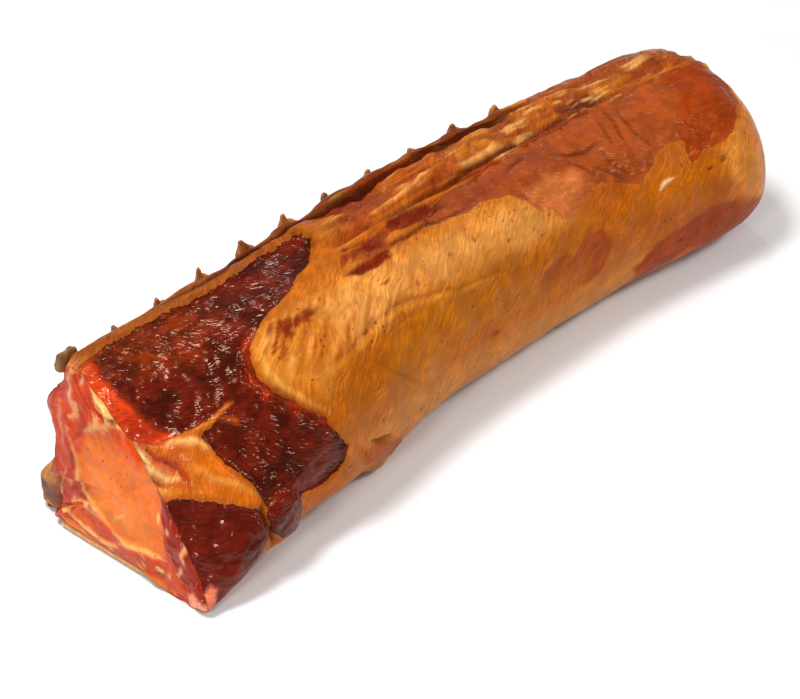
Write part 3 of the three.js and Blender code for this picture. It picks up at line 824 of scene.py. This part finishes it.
def bone_seat(points):
    """How far the meat draws back round the sawn vertebra at the foot of the cut end."""
    x, y, z = np.moveaxis(points, -1, 0)
    return BONE_SEAT_DEPTH * smooth(35, 39, y) * smooth(27, 23, z) * smooth(9, 3, x)


def ragged(points):
    """How far the torn rim of the cut end runs in and out along the loin."""
    return 1.5 * fractal(points, 9, seed=60)


def loin_surface():
    """Points, faces and looks of the whole loin: rows from the middle of the cut end out to its
    rim, along the body and in to the tip of the rounded end."""
    q = even_turns(LENGTH * COLUMN_SAMPLE, COLUMNS)[None, :]
    body = np.linspace(0, 1, SIDE_ROWS) ** ROW_CROWDING * (LENGTH - CAP_LENGTH)
    cap = LENGTH - CAP_LENGTH + CAP_LENGTH * np.sin(np.linspace(0, math.pi / 2, CAP_ROWS + 1))
    x = np.concatenate([body, cap[1:-1]])[:, None]
    plain = plain_body(x, q)
    g = girth(plain)
    normals = outward(plain)
    skin = carve_skin(plain, normals, g)
    out = skin.height.reshape(g.shape) + lumps(plain)
    lying = smooth(-0.3, -0.8, normals[..., 2]) * smooth(3.0, 0.4, plain[..., 2])
    out = np.where(out > 0, out * (1 - lying), out)
    moved = plain + normals * out[..., None]
    moved[..., 0] += bone_seat(moved)
    moved[..., 2] = np.maximum(moved[..., 2], 0)

    share = np.linspace(0, 1, FACE_ROWS + 1)[1:-1, None, None]
    centre = np.array([CUT_LEAN * FACE_CENTRE[1] / HEIGHT, *FACE_CENTRE])
    face = centre + (moved[0][None] - centre) * share
    reach = np.broadcast_to(share[..., 0], face.shape[:2])
    cut = carve_face(face, reach)
    facing = np.array([-1.0, -CUT_SKEW / FRONT, CUT_LEAN / HEIGHT])
    facing /= np.linalg.norm(facing)
    face = face + facing * cut.height.reshape(face.shape[:2])[..., None]
    face[..., 0] += bone_seat(face) + ragged(face) * smooth(0.8, 1.0, reach)
    moved[..., 0] += ragged(moved) * smooth(14, 0, x)
    face[..., 2] = np.maximum(face[..., 2], 0)

    tip = moved[-1].mean(axis=0)
    tip[0] = LENGTH
    points = np.concatenate([[centre], face.reshape(-1, 3), moved.reshape(-1, 3), [tip]])
    looks = {}
    for key in ("fat", "meat", "lean", "wet"):
        of_cut, of_skin = getattr(cut, key), getattr(skin, key)
        looks[key] = np.concatenate([of_cut[:1], of_cut, of_skin, of_skin[-1:]])
    # streaks follow the length and the girth on the skin, the height and the width on the cut end
    inner = 1 + len(face) * COLUMNS
    skin_x = np.concatenate([np.repeat(x.ravel(), COLUMNS), [LENGTH]])
    skin_g = np.concatenate([g.ravel(), [0]])
    on_face = np.stack([points[:inner, 2], points[:inner, 1], np.zeros(inner)], -1)
    on_skin = np.stack([skin_x, skin_g, np.zeros(len(skin_x))], -1)
    looks["skin"] = np.concatenate([on_face, on_skin]) / PATTERN_UNIT
    looks["face"] = (np.arange(len(points)) < inner).astype(float)
    return points, closed_faces(len(face) + len(moved), COLUMNS), looks


def closed_faces(rows, columns):
    """Faces of a tube of rows closed by a point before the first row and one after the last."""
    k = np.arange(columns)
    nxt = (k + 1) % columns
    r = np.arange(rows - 1)[:, None] * columns + 1
    quads = np.stack([r + k, r + nxt, r + columns + nxt, r + columns + k], -1).reshape(-1, 4)
    last = (rows - 1) * columns + 1
    head = np.stack([np.zeros(columns, int), nxt + 1, k + 1], -1)
    tail = np.stack([np.full(columns, rows * columns + 1), last + k, last + nxt], -1)
    return head.tolist() + quads.tolist() + tail.tolist()


def make_piece(name, points, faces, looks, material):
    """A Blender object from points in the loin's millimetres, with one attribute per look."""
    mesh = bpy.data.meshes.new(name)
    place = to_frame(points)
    mesh.from_pydata(place.tolist(), [], faces)
    mesh.update()
    if signed_volume(place, mesh) < 0:
        mesh.flip_normals()
    for key, value in looks.items():
        if key in ("fat", "meat"):
            attribute = mesh.attributes.new(key, "FLOAT_COLOR", "POINT")
            rgba = np.concatenate([np.clip(value, 0, 1), np.ones((len(value), 1))], axis=1)
            attribute.data.foreach_set("color", rgba.ravel())
        elif value.ndim == 2:
            attribute = mesh.attributes.new(key, "FLOAT_VECTOR", "POINT")
            attribute.data.foreach_set("vector", value.ravel())
        else:
            attribute = mesh.attributes.new(key, "FLOAT", "POINT")
            attribute.data.foreach_set("value", value)
    mesh.shade_smooth()
    piece = bpy.data.objects.new(name, mesh)
    bpy.context.scene.collection.objects.link(piece)
    mesh.materials.append(material)
    return piece


def signed_volume(points, mesh):
    """Sum over the triangles of a . (b x c) / 6: positive when the faces point outwards."""
    mesh.calc_loop_triangles()
    corner = np.empty(len(mesh.loop_triangles) * 3, np.int32)
    mesh.loop_triangles.foreach_get("vertices", corner)
    a, b, c = np.moveaxis(points[corner.reshape(-1, 3)], 1, 0)
    return float(np.sum(a * np.cross(b, c)) / 6)


# ---- bones ----------------------------------------------------------------------------------
def swept_bone(rows, columns, place):
    """A closed surface: a grid of share h along the bone and angle a round it, put in place by
    place(h, a). The first and last rows are drawn in to a point."""
    h = np.linspace(0, 1, rows + 2)[:, None]
    a = np.linspace(0, 2 * math.pi, columns, endpoint=False)[None, :]
    points = place(h, a)
    near, far = points[0].mean(axis=0), points[-1].mean(axis=0)
    points = np.concatenate([[near], points[1:-1].reshape(-1, 3), [far]])
    return points, closed_faces(rows, columns)


def squared(a, power):
    """The cosine and sine of the angles, pushed out towards a square as power grows past 2."""
    c, s = np.cos(a), np.sin(a)
    size = (np.abs(c) ** power + np.abs(s) ** power) ** (-1 / power)
    return c * size, s * size


def corners_between(name, low_share, high_share, axis=2):
    """The box, in the loin's millimetres, of the part of a node between two shares of its
    extent along an axis."""
    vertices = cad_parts[name].data.vertices
    co = np.empty(len(vertices) * 3)
    vertices.foreach_get("co", co)
    co = to_loin(co.reshape(-1, 3))
    share = (co[:, axis] - co[:, axis].min()) / np.ptp(co[:, axis])
    kept = co[(share >= low_share) & (share <= high_share)]
    return kept.min(axis=0), kept.max(axis=0)


def behind_cut(points):
    """Lays points that stick out of the sawn end on its plane, and tells which they are."""
    x, y, z = points.T
    plane = CUT_LEAN * z / HEIGHT - CUT_SKEW * y / FRONT - 0.5
    sawn = x < plane
    points[:, 0] = np.maximum(x, plane)
    return sawn


def vertebra(name, seed):
    """One halved vertebra: a squared body at the foot that narrows to a flat spine, slants
    along the loin and in, and ends in a broken shard; the first one ends in a blunt knob. Half
    sizes run smoothly from body to spine."""
    body_low, body_high = corners_between(name, 0, 0.1)
    tip_low, tip_high = corners_between(name, 0.93, 1)
    outer = body_high[1]
    top = tip_high[2]
    foot = body_low[2]
    tip_x = (tip_low[0] + tip_high[0]) / 2
    body_x = (body_low[0] + body_high[0]) / 2
    if seed == 0:
        body_x = tip_x - SPINE_SLANT
    half = max(body_high[0] - body_x, VERTEBRA_MIN_HALF)
    body_deep = (body_high[1] - body_low[1]) / 2

    def place(h, a):
        z = foot + (top - foot) * h
        spine = smooth(BODY_TOP - 4, BODY_TOP + 6, z)
        close = np.sqrt(np.clip(1 - (2 * h - 1) ** 60, 0, 1))
        fin = smooth(top, top - BROKEN_END, z) ** 1.3
        reach = (6.5 + 1.5 * ((seed * 7) % 3)) * fin * (seed > 0)
        knob = smooth(top - BROKEN_END, top - 7, z) * (seed == 0)
        blade = 1.3 + 5.2 * knob + 0.8 * fin + 0.5 * reach
        wide = half * (1 - spine) + blade * spine
        deep = body_deep * (1 - spine) + (1.2 + 2.2 * fin) * spine
        c, s = squared(a, 5 - 2.2 * spine)
        lean_in = BACK_LEAN * z / HEIGHT
        spine_y = outer - SPINE_INSET - lean_in
        centre_y = (outer - body_deep) * (1 - spine) + spine_y * spine
        centre_x = body_x + (tip_x - body_x) * smooth(BODY_TOP - 12, top - 6, z)
        centre_x = centre_x + spine * (0.5 * reach - 1.5) - 2.5 * knob
        x = centre_x + c * wide * close
        y = centre_y + s * deep * close
        return np.stack([x, y, z + 0 * x], -1)

    points, faces = swept_bone(*VERTEBRA_GRID, place)
    rows = points[1:-1].reshape(*VERTEBRA_GRID, 3)
    away = rows - rows.mean(axis=1, keepdims=True)
    away /= np.maximum(np.linalg.norm(away, axis=-1, keepdims=True), 1e-6)
    away = np.concatenate([np.zeros((1, 3)), away.reshape(-1, 3), np.zeros((1, 3))])
    shard = smooth(top - 12, top - 3, points[:, 2])
    rough = 0.45 * fractal(points, 6, seed=200 + seed)
    rough += 0.9 * shard * fractal(points, 3.0, seed=230 + seed)
    points = points + away * rough[:, None]
    points[:, 2] += 1.6 * shard * noise(points, 3.5, 260 + seed)
    points[:, 2] = np.clip(points[:, 2] + 2.5 * shard * (seed == 0), foot, top + 3.0)
    points[:, 1] = np.minimum(points[:, 1], outer + 0.2 * noise(points, 3, 7))
    sawn = behind_cut(points)
    return points, faces, vertebra_looks(points, sawn, body_x, half, outer, foot, top, seed)


def vertebra_looks(points, sawn, body_x, half, outer, foot, top, seed):
    """Tan, smoke-stained bone: red-brown marrow inside the sawn faces, a dark scorched knob."""
    x, y, z = points.T
    coat = Coat(points, (158, 98, 44))
    coat.blend(smooth(-0.2, 0.5, fractal(points, 7, seed=300 + seed)), (190, 128, 62))
    coat.blend(smooth(0.1, 0.6, fractal(points, 5, seed=320 + seed)) * 0.7, (100, 50, 22))
    inside = smooth(0.5, 2.5, half - 1.5 - np.abs(x - body_x)) * smooth(foot + 2, foot + 4, z)
    inside *= smooth(BODY_TOP - 2, BODY_TOP - 5, z)
    marrow = inside * smooth(outer - 2, outer - 0.8, y)
    marrow = np.maximum(marrow, sawn * smooth(foot + 3, foot + 5, z) * inside)
    marrow *= smooth(-0.7, 0.1, fractal(points, 6, seed=340 + seed))
    coat.blend(marrow, MARROW)
    pores = spots(points, 1.8, 350, 0.35)
    coat.blend(marrow * pores, (60, 22, 14))
    coat.blend(smooth(top - 22, top - 12, z) * smooth(top - 6, top - 10, z) * 0.7, (96, 38, 14))
    tip = smooth(top - 10, top - 4, z)
    coat.blend(tip * 0.8, (176, 100, 34) if seed else (124, 88, 44))
    coat.blend(tip * smooth(0.0, 0.4, fractal(points, 4, seed=360 + seed)) * 0.8, (98, 46, 16))
    if seed == 0:
        end = smooth(3.0, 0.5, x - (body_x - half)) * smooth(foot + 3, foot + 6, z)
        end *= smooth(BODY_TOP - 2, BODY_TOP - 6, z) * smooth(outer - 0.5, outer - 3, y)
        coat.blend(end * 0.85, (128, 66, 22))
        coat.blend(end * smooth(0.0, 0.4, fractal(points, 4, seed=365)), (70, 28, 12))
        rim = smooth(BODY_TOP - 6, BODY_TOP - 2, z) * smooth(BODY_TOP + 4, BODY_TOP, z)
        coat.blend(rim * 0.5, (206, 140, 70))
    sides = smooth(outer - 6, outer - 12, y) * smooth(BODY_TOP + 4, BODY_TOP, z)
    coat.blend(sides * 0.6, (130, 60, 30))
    return {"fat": coat.fat, "wet": coat.wet, "marrow": marrow}


def rib(name, seed):
    """One rib: a flattened oval carried across the underside, narrower towards the fat side."""
    head_low, head_high = corners_between(name, 0.9, 1, axis=1)
    end_low, end_high = corners_between(name, 0, 0.1, axis=1)
    foot, crown = head_low[2], head_high[2]
    tall = (crown - foot) / 2
    half_end = (end_high[0] - end_low[0]) / 2

    def place(h, a):
        close = np.sqrt(np.clip(1 - (2 * h - 1) ** 30, 0, 1))
        y = end_low[1] + (head_high[1] - end_low[1]) * h
        head_x = head_high[0] - RIB_HALF
        centre_x = (end_low[0] + end_high[0]) / 2 * (1 - h) + head_x * h
        wide = half_end * (1 - h) + RIB_HALF * h
        c, s = squared(a, 3.0)
        x = centre_x + c * (wide + 0.4) * close
        z = foot + tall + s * tall * close
        return np.stack([x, y + 0 * x, z], -1)

    points, faces = swept_bone(*RIB_GRID, place)
    points[:, 0] += 0.6 * fractal(points, 7, seed=400 + seed)
    points[:, 2] += 0.4 * fractal(points, 6, seed=420 + seed)
    points[:, 2] = np.maximum(points[:, 2], foot)
    sawn = behind_cut(points)
    coat = Coat(points, (190, 132, 74))
    coat.blend(smooth(-0.2, 0.5, fractal(points, 9, seed=440 + seed)), (214, 160, 96))
    coat.blend(smooth(0.1, 0.6, fractal(points, 6, seed=450 + seed)) * 0.6, (140, 80, 40))
    inner = smooth(0.4, 1.8, np.minimum(points[:, 2] - foot, crown - points[:, 2]) - 1.2)
    marrow = sawn * inner * smooth(-0.8, 0.0, fractal(points, 5, seed=460))
    coat.blend(marrow, (180, 58, 28))
    coat.blend(marrow * spots(points, 1.6, 470, 0.4), (110, 24, 14))
    coat.blend(sawn * (1 - inner) * 0.8, CREAM)
    looks = {"fat": coat.fat, "wet": coat.wet + sawn * 0.6, "marrow": marrow}
    return points, faces, looks


# ---- materials ------------------------------------------------------------------------------
class Nodes:
    """A shorthand for building a material's node tree round one principled shader."""

    def __init__(self, name):
        self.material = bpy.data.materials.new(name)
        self.material.use_nodes = True
        self.tree = self.material.node_tree
        self.tree.nodes.clear()
        self.shader = self.add("ShaderNodeBsdfPrincipled")
        output = self.add("ShaderNodeOutputMaterial")
        self.link(self.shader.outputs[0], output.inputs["Surface"])

    def add(self, kind, **settings):
        node = self.tree.nodes.new(kind)
        for key, value in settings.items():
            setattr(node, key, value)
        return node

    def link(self, source, target):
        self.tree.links.new(source, target)

    def fill(self, socket, value):
        if isinstance(value, bpy.types.NodeSocket):
            self.link(value, socket)
        elif isinstance(value, tuple) and len(value) == 3 and len(socket.default_value) == 4:
            socket.default_value = (*value, 1)
        else:
            socket.default_value = value

    def attribute(self, name, output="Fac"):
        return self.add("ShaderNodeAttribute", attribute_name=name).outputs[output]

    def place(self, scale=(1, 1, 1), turn=(0, 0, 0), source=None):
        """Object coordinates, or another vector, turned and then stretched."""
        if source is None:
            source = self.add("ShaderNodeTexCoord").outputs["Object"]
        for key, value in (("Rotation", turn), ("Scale", scale)):
            mapping = self.add("ShaderNodeMapping")
            self.link(source, mapping.inputs["Vector"])
            mapping.inputs[key].default_value = value
            source = mapping.outputs[0]
        return source

    def noise(self, vector, scale, detail, roughness=0.55, output=0):
        node = self.add("ShaderNodeTexNoise")
        self.link(vector, node.inputs["Vector"])
        node.inputs["Scale"].default_value = scale
        node.inputs["Detail"].default_value = detail
        node.inputs["Roughness"].default_value = roughness
        return node.outputs[output]

    def cells(self, vector, scale):
        node = self.add("ShaderNodeTexVoronoi")
        self.link(vector, node.inputs["Vector"])
        node.inputs["Scale"].default_value = scale
        return node.outputs["Distance"]

    def span(self, value, low, high, to_low=0.0, to_high=1.0):
        node = self.add("ShaderNodeMapRange")
        node.interpolation_type = "SMOOTHSTEP"
        self.fill(node.inputs["Value"], value)
        for key, number in (("From Min", low), ("From Max", high), ("To Min", to_low),
                            ("To Max", to_high)):
            self.fill(node.inputs[key], number)
        return node.outputs["Result"]

    def math(self, operation, a, b):
        node = self.add("ShaderNodeMath", operation=operation)
        self.fill(node.inputs[0], a)
        self.fill(node.inputs[1], b)
        return node.outputs[0]

    def times(self, *values):
        return functools.reduce(lambda a, b: self.math("MULTIPLY", a, b), values)

    def plus(self, *values):
        return functools.reduce(lambda a, b: self.math("ADD", a, b), values)

    def scaled(self, vector, factor):
        node = self.add("ShaderNodeVectorMath", operation="SCALE")
        self.link(vector, node.inputs[0])
        self.link(factor, node.inputs["Scale"])
        return node.outputs[0]

    def mix(self, amount, a, b, blend="MIX"):
        node = self.add("ShaderNodeMix", data_type="RGBA", blend_type=blend)
        self.fill(node.inputs[0], amount)
        self.fill(node.inputs[6], a)
        self.fill(node.inputs[7], b)
        return node.outputs[2]

    def bump(self, height, distance, strength):
        node = self.add("ShaderNodeBump")
        node.inputs["Strength"].default_value = strength
        node.inputs["Distance"].default_value = distance
        self.link(height, node.inputs["Height"])
        return node.outputs[0]

    def set(self, **values):
        for key, value in values.items():
            self.fill(self.shader.inputs[key.replace("_", " ")], value)


def loin_material():
    """Smoked fat and lean. The two painted colours meet along a crisp, wandering edge; mottling,
    streaks, fibres and pits break them up, and a thin glossy coat lies over smooth dimples."""
    m = Nodes("smoked_meat_and_fat")
    wet = m.attribute("wet")
    obj = m.place()
    slow = m.noise(obj, 26, 3)
    blotch = m.noise(obj, 70, 3, 0.6)
    middle = m.noise(obj, 150, 3)
    fine = m.noise(obj, 480, 4, 0.6)

    # which of fat and meat shows
    edge = m.plus(m.attribute("lean"), m.span(middle, 0.2, 0.8, -0.32, 0.32),
                  m.span(fine, 0.25, 0.75, -0.14, 0.14))
    lean = m.span(edge, 0.43, 0.57)
    fat = m.math("SUBTRACT", 1.0, lean)

    # streaks, fibres and dashes run slantwise along the skin, bent by a slow noise
    bent = m.add("ShaderNodeVectorMath", operation="MULTIPLY_ADD")
    m.link(m.noise(obj, 30, 2, 0.5, "Color"), bent.inputs[0])
    bent.inputs[1].default_value = (0.22, 0.22, 0.0)
    m.link(m.attribute("skin", "Vector"), bent.inputs[2])

    def drawn_out(stretch, slant, detail, roughness):
        pattern = m.place((*stretch, 1), (0, 0, slant), bent.outputs[0])
        return m.noise(pattern, 1.0, detail, roughness)

    streaks = drawn_out((12, 66), 0.8, 3, 0.55)
    fibres = drawn_out((10, 76), -0.3, 4, 0.6)
    dashes = drawn_out((20, 56), -0.5, 1, 0.5)

    # streaks tint the fat, least on the cut end
    cut = m.span(m.attribute("face"), 0.0, 1.0, 1.0, 0.15)
    streaky = m.times(m.span(streaks, 0.36, 0.64, -0.15, 0.14),
                      m.span(blotch, 0.35, 0.6, 0.3, 1.4), cut)
    fat_tone = m.times(m.plus(streaky, 1.0), m.span(middle, 0.30, 0.70, 0.92, 1.06),
                       m.span(blotch, 0.32, 0.68, 0.88, 1.10))
    # dry meat is even, wet meat has fibres, and mottling fades where it is wettest
    fibre_tone = m.times(m.span(fibres, 0.32, 0.68, -0.22, 0.26),
                         m.span(wet, 0.0, 0.3, 0.35, 1.0))
    mottle = m.span(m.plus(blotch, m.span(middle, 0.3, 0.7, -0.08, 0.08)), 0.34, 0.66)
    mottle = m.times(m.math("SUBTRACT", mottle, 0.5), m.span(wet, 0.6, 0.95, 1.0, 0.35),
                     m.span(wet, 0.0, 0.3, 0.3, 0.95))
    lean_tone = m.times(m.plus(fibre_tone, 1.0), m.plus(mottle, 1.0))
    grain = m.span(fine, 0.28, 0.72, 0.94, 1.05)
    fat_colour = m.scaled(m.attribute("fat", "Color"), m.times(fat_tone, grain))
    lean_colour = m.scaled(m.attribute("meat", "Color"), m.times(lean_tone, grain))
    # dry fat turns golden in wide areas
    gold = m.times(m.span(slow, 0.52, 0.36, 0.0, 0.42), m.span(wet, 0.25, 0.5, 1.0, 0.0))
    fat_colour = m.mix(gold, fat_colour, (0.86, 0.55, 0.20), "MULTIPLY")
    base = m.mix(lean, fat_colour, lean_colour)
    # small dark pits in the fat
    rare = m.span(m.noise(obj, 60, 1), 0.52, 0.64)
    pits = m.times(m.span(m.cells(obj, 230), 0.19, 0.07), rare, fat)
    base = m.mix(m.times(pits, 0.7), base, (0.15, 0.035, 0.01))

    # smooth dimples and dents, short ridges on the meat, and the fat stands proud of it
    dimples = m.times(m.noise(obj, 130, 1, 0.4), m.span(slow, 0.40, 0.60, 0.45, 1.25),
                      m.span(wet, 0.0, 1.0, 0.7, 1.9))
    height = m.plus(
        dimples,
        m.times(dashes, m.span(lean, 0.0, 1.0, 0.10, 0.45), cut),
        m.times(m.noise(obj, 75, 1, 0.4), 1.6),
        m.times(streaks, cut, fat, 0.35),
        m.times(fine, m.span(lean, 0.0, 1.0, 0.12, 0.04)),
        m.times(pits, -0.5),
        m.times(fat, 0.5),
    )
    normal = m.bump(height, 0.0017, 0.9)

    rough = m.plus(m.span(middle, 0.3, 0.7, 0.16, 0.26), m.times(fat, 0.12))
    m.set(Base_Color=base, Roughness=rough, Normal=normal, Subsurface_Weight=0.05,
          Subsurface_Radius=(1.0, 0.3, 0.1), Subsurface_Scale=0.002,
          Coat_Weight=m.span(wet, 0.2, 1.0, 0.04, 0.22), Coat_Roughness=0.08,
          Coat_Normal=normal, Specular_IOR_Level=m.span(wet, -0.4, 0.8, 0.0, 0.30),
          Specular_Tint=(1.0, 0.60, 0.36))
    return m.material


def bone_material():
    """Smoke-stained bone: painted colour with fine grain, pores in the marrow, matt."""
    m = Nodes("smoked_bone")
    obj = m.place()
    grain = m.noise(m.place((1, 1, 0.3)), 500, 5, 0.65)
    blotch = m.noise(obj, 110, 4, 0.6)
    tone = m.times(m.span(grain, 0.3, 0.7, 0.82, 1.16), m.span(blotch, 0.3, 0.7, 0.80, 1.12))
    pores = m.times(m.span(m.cells(obj, 900), 0.35, 0.12), m.attribute("marrow"))
    toned = m.scaled(m.attribute("fat", "Color"), tone)
    base = m.mix(m.times(pores, 0.8), toned, (0.06, 0.015, 0.008))
    height = m.math("SUBTRACT", m.plus(grain, m.times(blotch, 1.5)), pores)
    m.set(Base_Color=base, Roughness=m.span(blotch, 0.2, 0.8, 0.48, 0.72),
          Normal=m.bump(height, 0.0006, 0.7), Coat_Weight=0.06, Coat_Roughness=0.3)
    return m.material


def floor_material():
    m = Nodes("pale_floor")
    m.set(Base_Color=(0.86, 0.86, 0.86), Roughness=0.7, Specular_IOR_Level=0.2)
    return m.material


# ---- the pieces -----------------------------------------------------------------------------
def add_loin():
    points, faces, looks = loin_surface()
    piece = make_piece("loin", points, faces, looks, loin_material())
    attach(piece, "root")
    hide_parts("loin_meat")


def add_bones(kind, shape, material):
    for seed, name in enumerate(bone_names(kind)):
        points, faces, looks = shape(name, seed)
        piece = make_piece("sawn_" + name, points, faces, looks, material)
        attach(piece, "root")
        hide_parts(name)


# ---- floor, light and camera ----------------------------------------------------------------
FLOOR_HALF = 6.0  # metres
FLOOR_DROP = 0.0004  # how far the floor lies below the foot of the loin, in metres


def add_floor():
    mesh = bpy.data.meshes.new("floor")
    corners = [(FLOOR_HALF * i, FLOOR_HALF * j, 0) for i, j in ((-1, -1), (1, -1), (1, 1), (-1, 1))]
    mesh.from_pydata(corners, [], [(0, 1, 2, 3)])
    floor = bpy.data.objects.new("floor", mesh)
    floor.location.z = -FLOOR_DROP
    bpy.context.scene.collection.objects.link(floor)
    mesh.materials.append(floor_material())


# name, place in metres, side in metres and power in watts of each square lamp: the key light
# high on the left, one on the right for the fat side, one in front for the cut end, and three
# small bright ones that give the wet meat its highlights
LAMPS = (
    ("key", (-0.30, 0.30, 1.3), 0.36, 14.5),
    ("side", (0.65, -0.85, 1.1), 0.26, 6.0),
    ("face", (-1.3, -0.45, 0.7), 0.24, 6.0),
    ("glint_top", (0.80, 0.78, 0.90), 0.10, 1.6),
    ("glint_front", (0.80, -0.62, 1.00), 0.10, 1.2),
    ("glint_end", (-1.15, -0.60, 0.56), 0.10, 1.0),
)
LAMP_AIM = (0.0, 0.0, 0.05)
SURROUND = 0.28  # strength of the even white light from all sides


def add_lamp(name, place, side, power):
    light = bpy.data.lights.new(name, "AREA")
    light.shape = "RECTANGLE"
    light.size = light.size_y = side
    light.energy = power
    lamp = bpy.data.objects.new(name, light)
    lamp.location = place
    lamp.rotation_euler = (Vector(LAMP_AIM) - Vector(place)).to_track_quat("-Z", "Y").to_euler()
    bpy.context.scene.collection.objects.link(lamp)


def add_light():
    for lamp in LAMPS:
        add_lamp(*lamp)
    world = bpy.data.worlds.new("surround")
    world.use_nodes = True
    shade = world.node_tree.nodes["Background"]
    shade.inputs["Color"].default_value = (1, 1, 1, 1)
    shade.inputs["Strength"].default_value = SURROUND
    bpy.context.scene.world = world


CAMERA_AZIMUTH = -45.6  # degrees
CAMERA_HEIGHT_ANGLE = 37.7  # degrees
CAMERA_DISTANCE = 1.2  # metres from its aim
CAMERA_AIM = (164.9, -33.6, 50.0)  # in the loin's millimetres
CAMERA_LENS = 109.4  # millimetres, behind a sensor of the width below
CAMERA_SENSOR = 36


def add_camera():
    """The camera looks down on the cut end and the fat side from in front of their corner."""
    azimuth, height = math.radians(CAMERA_AZIMUTH), math.radians(CAMERA_HEIGHT_ANGLE)
    back = Vector((math.sin(azimuth) * math.cos(height), -math.cos(azimuth) * math.cos(height),
                   math.sin(height)))
    right = Vector((math.cos(azimuth), math.sin(azimuth), 0))
    up = back.cross(right)
    place = Vector(to_frame(CAMERA_AIM)) + back * CAMERA_DISTANCE
    data = bpy.data.cameras.new("camera")
    data.lens = CAMERA_LENS
    data.sensor_width = CAMERA_SENSOR
    camera = bpy.data.objects.new("camera", data)
    turn = Matrix((right, up, back)).transposed()
    camera.matrix_world = Matrix.Translation(place) @ turn.to_4x4()
    bpy.context.scene.collection.objects.link(camera)
    bpy.context.scene.camera = camera


bpy.context.scene.view_settings.view_transform = "Standard"
add_camera()
add_light()
add_floor()
add_loin()
bone = bone_material()
add_bones("vertebra", vertebra, bone)
add_bones("rib", rib, bone)
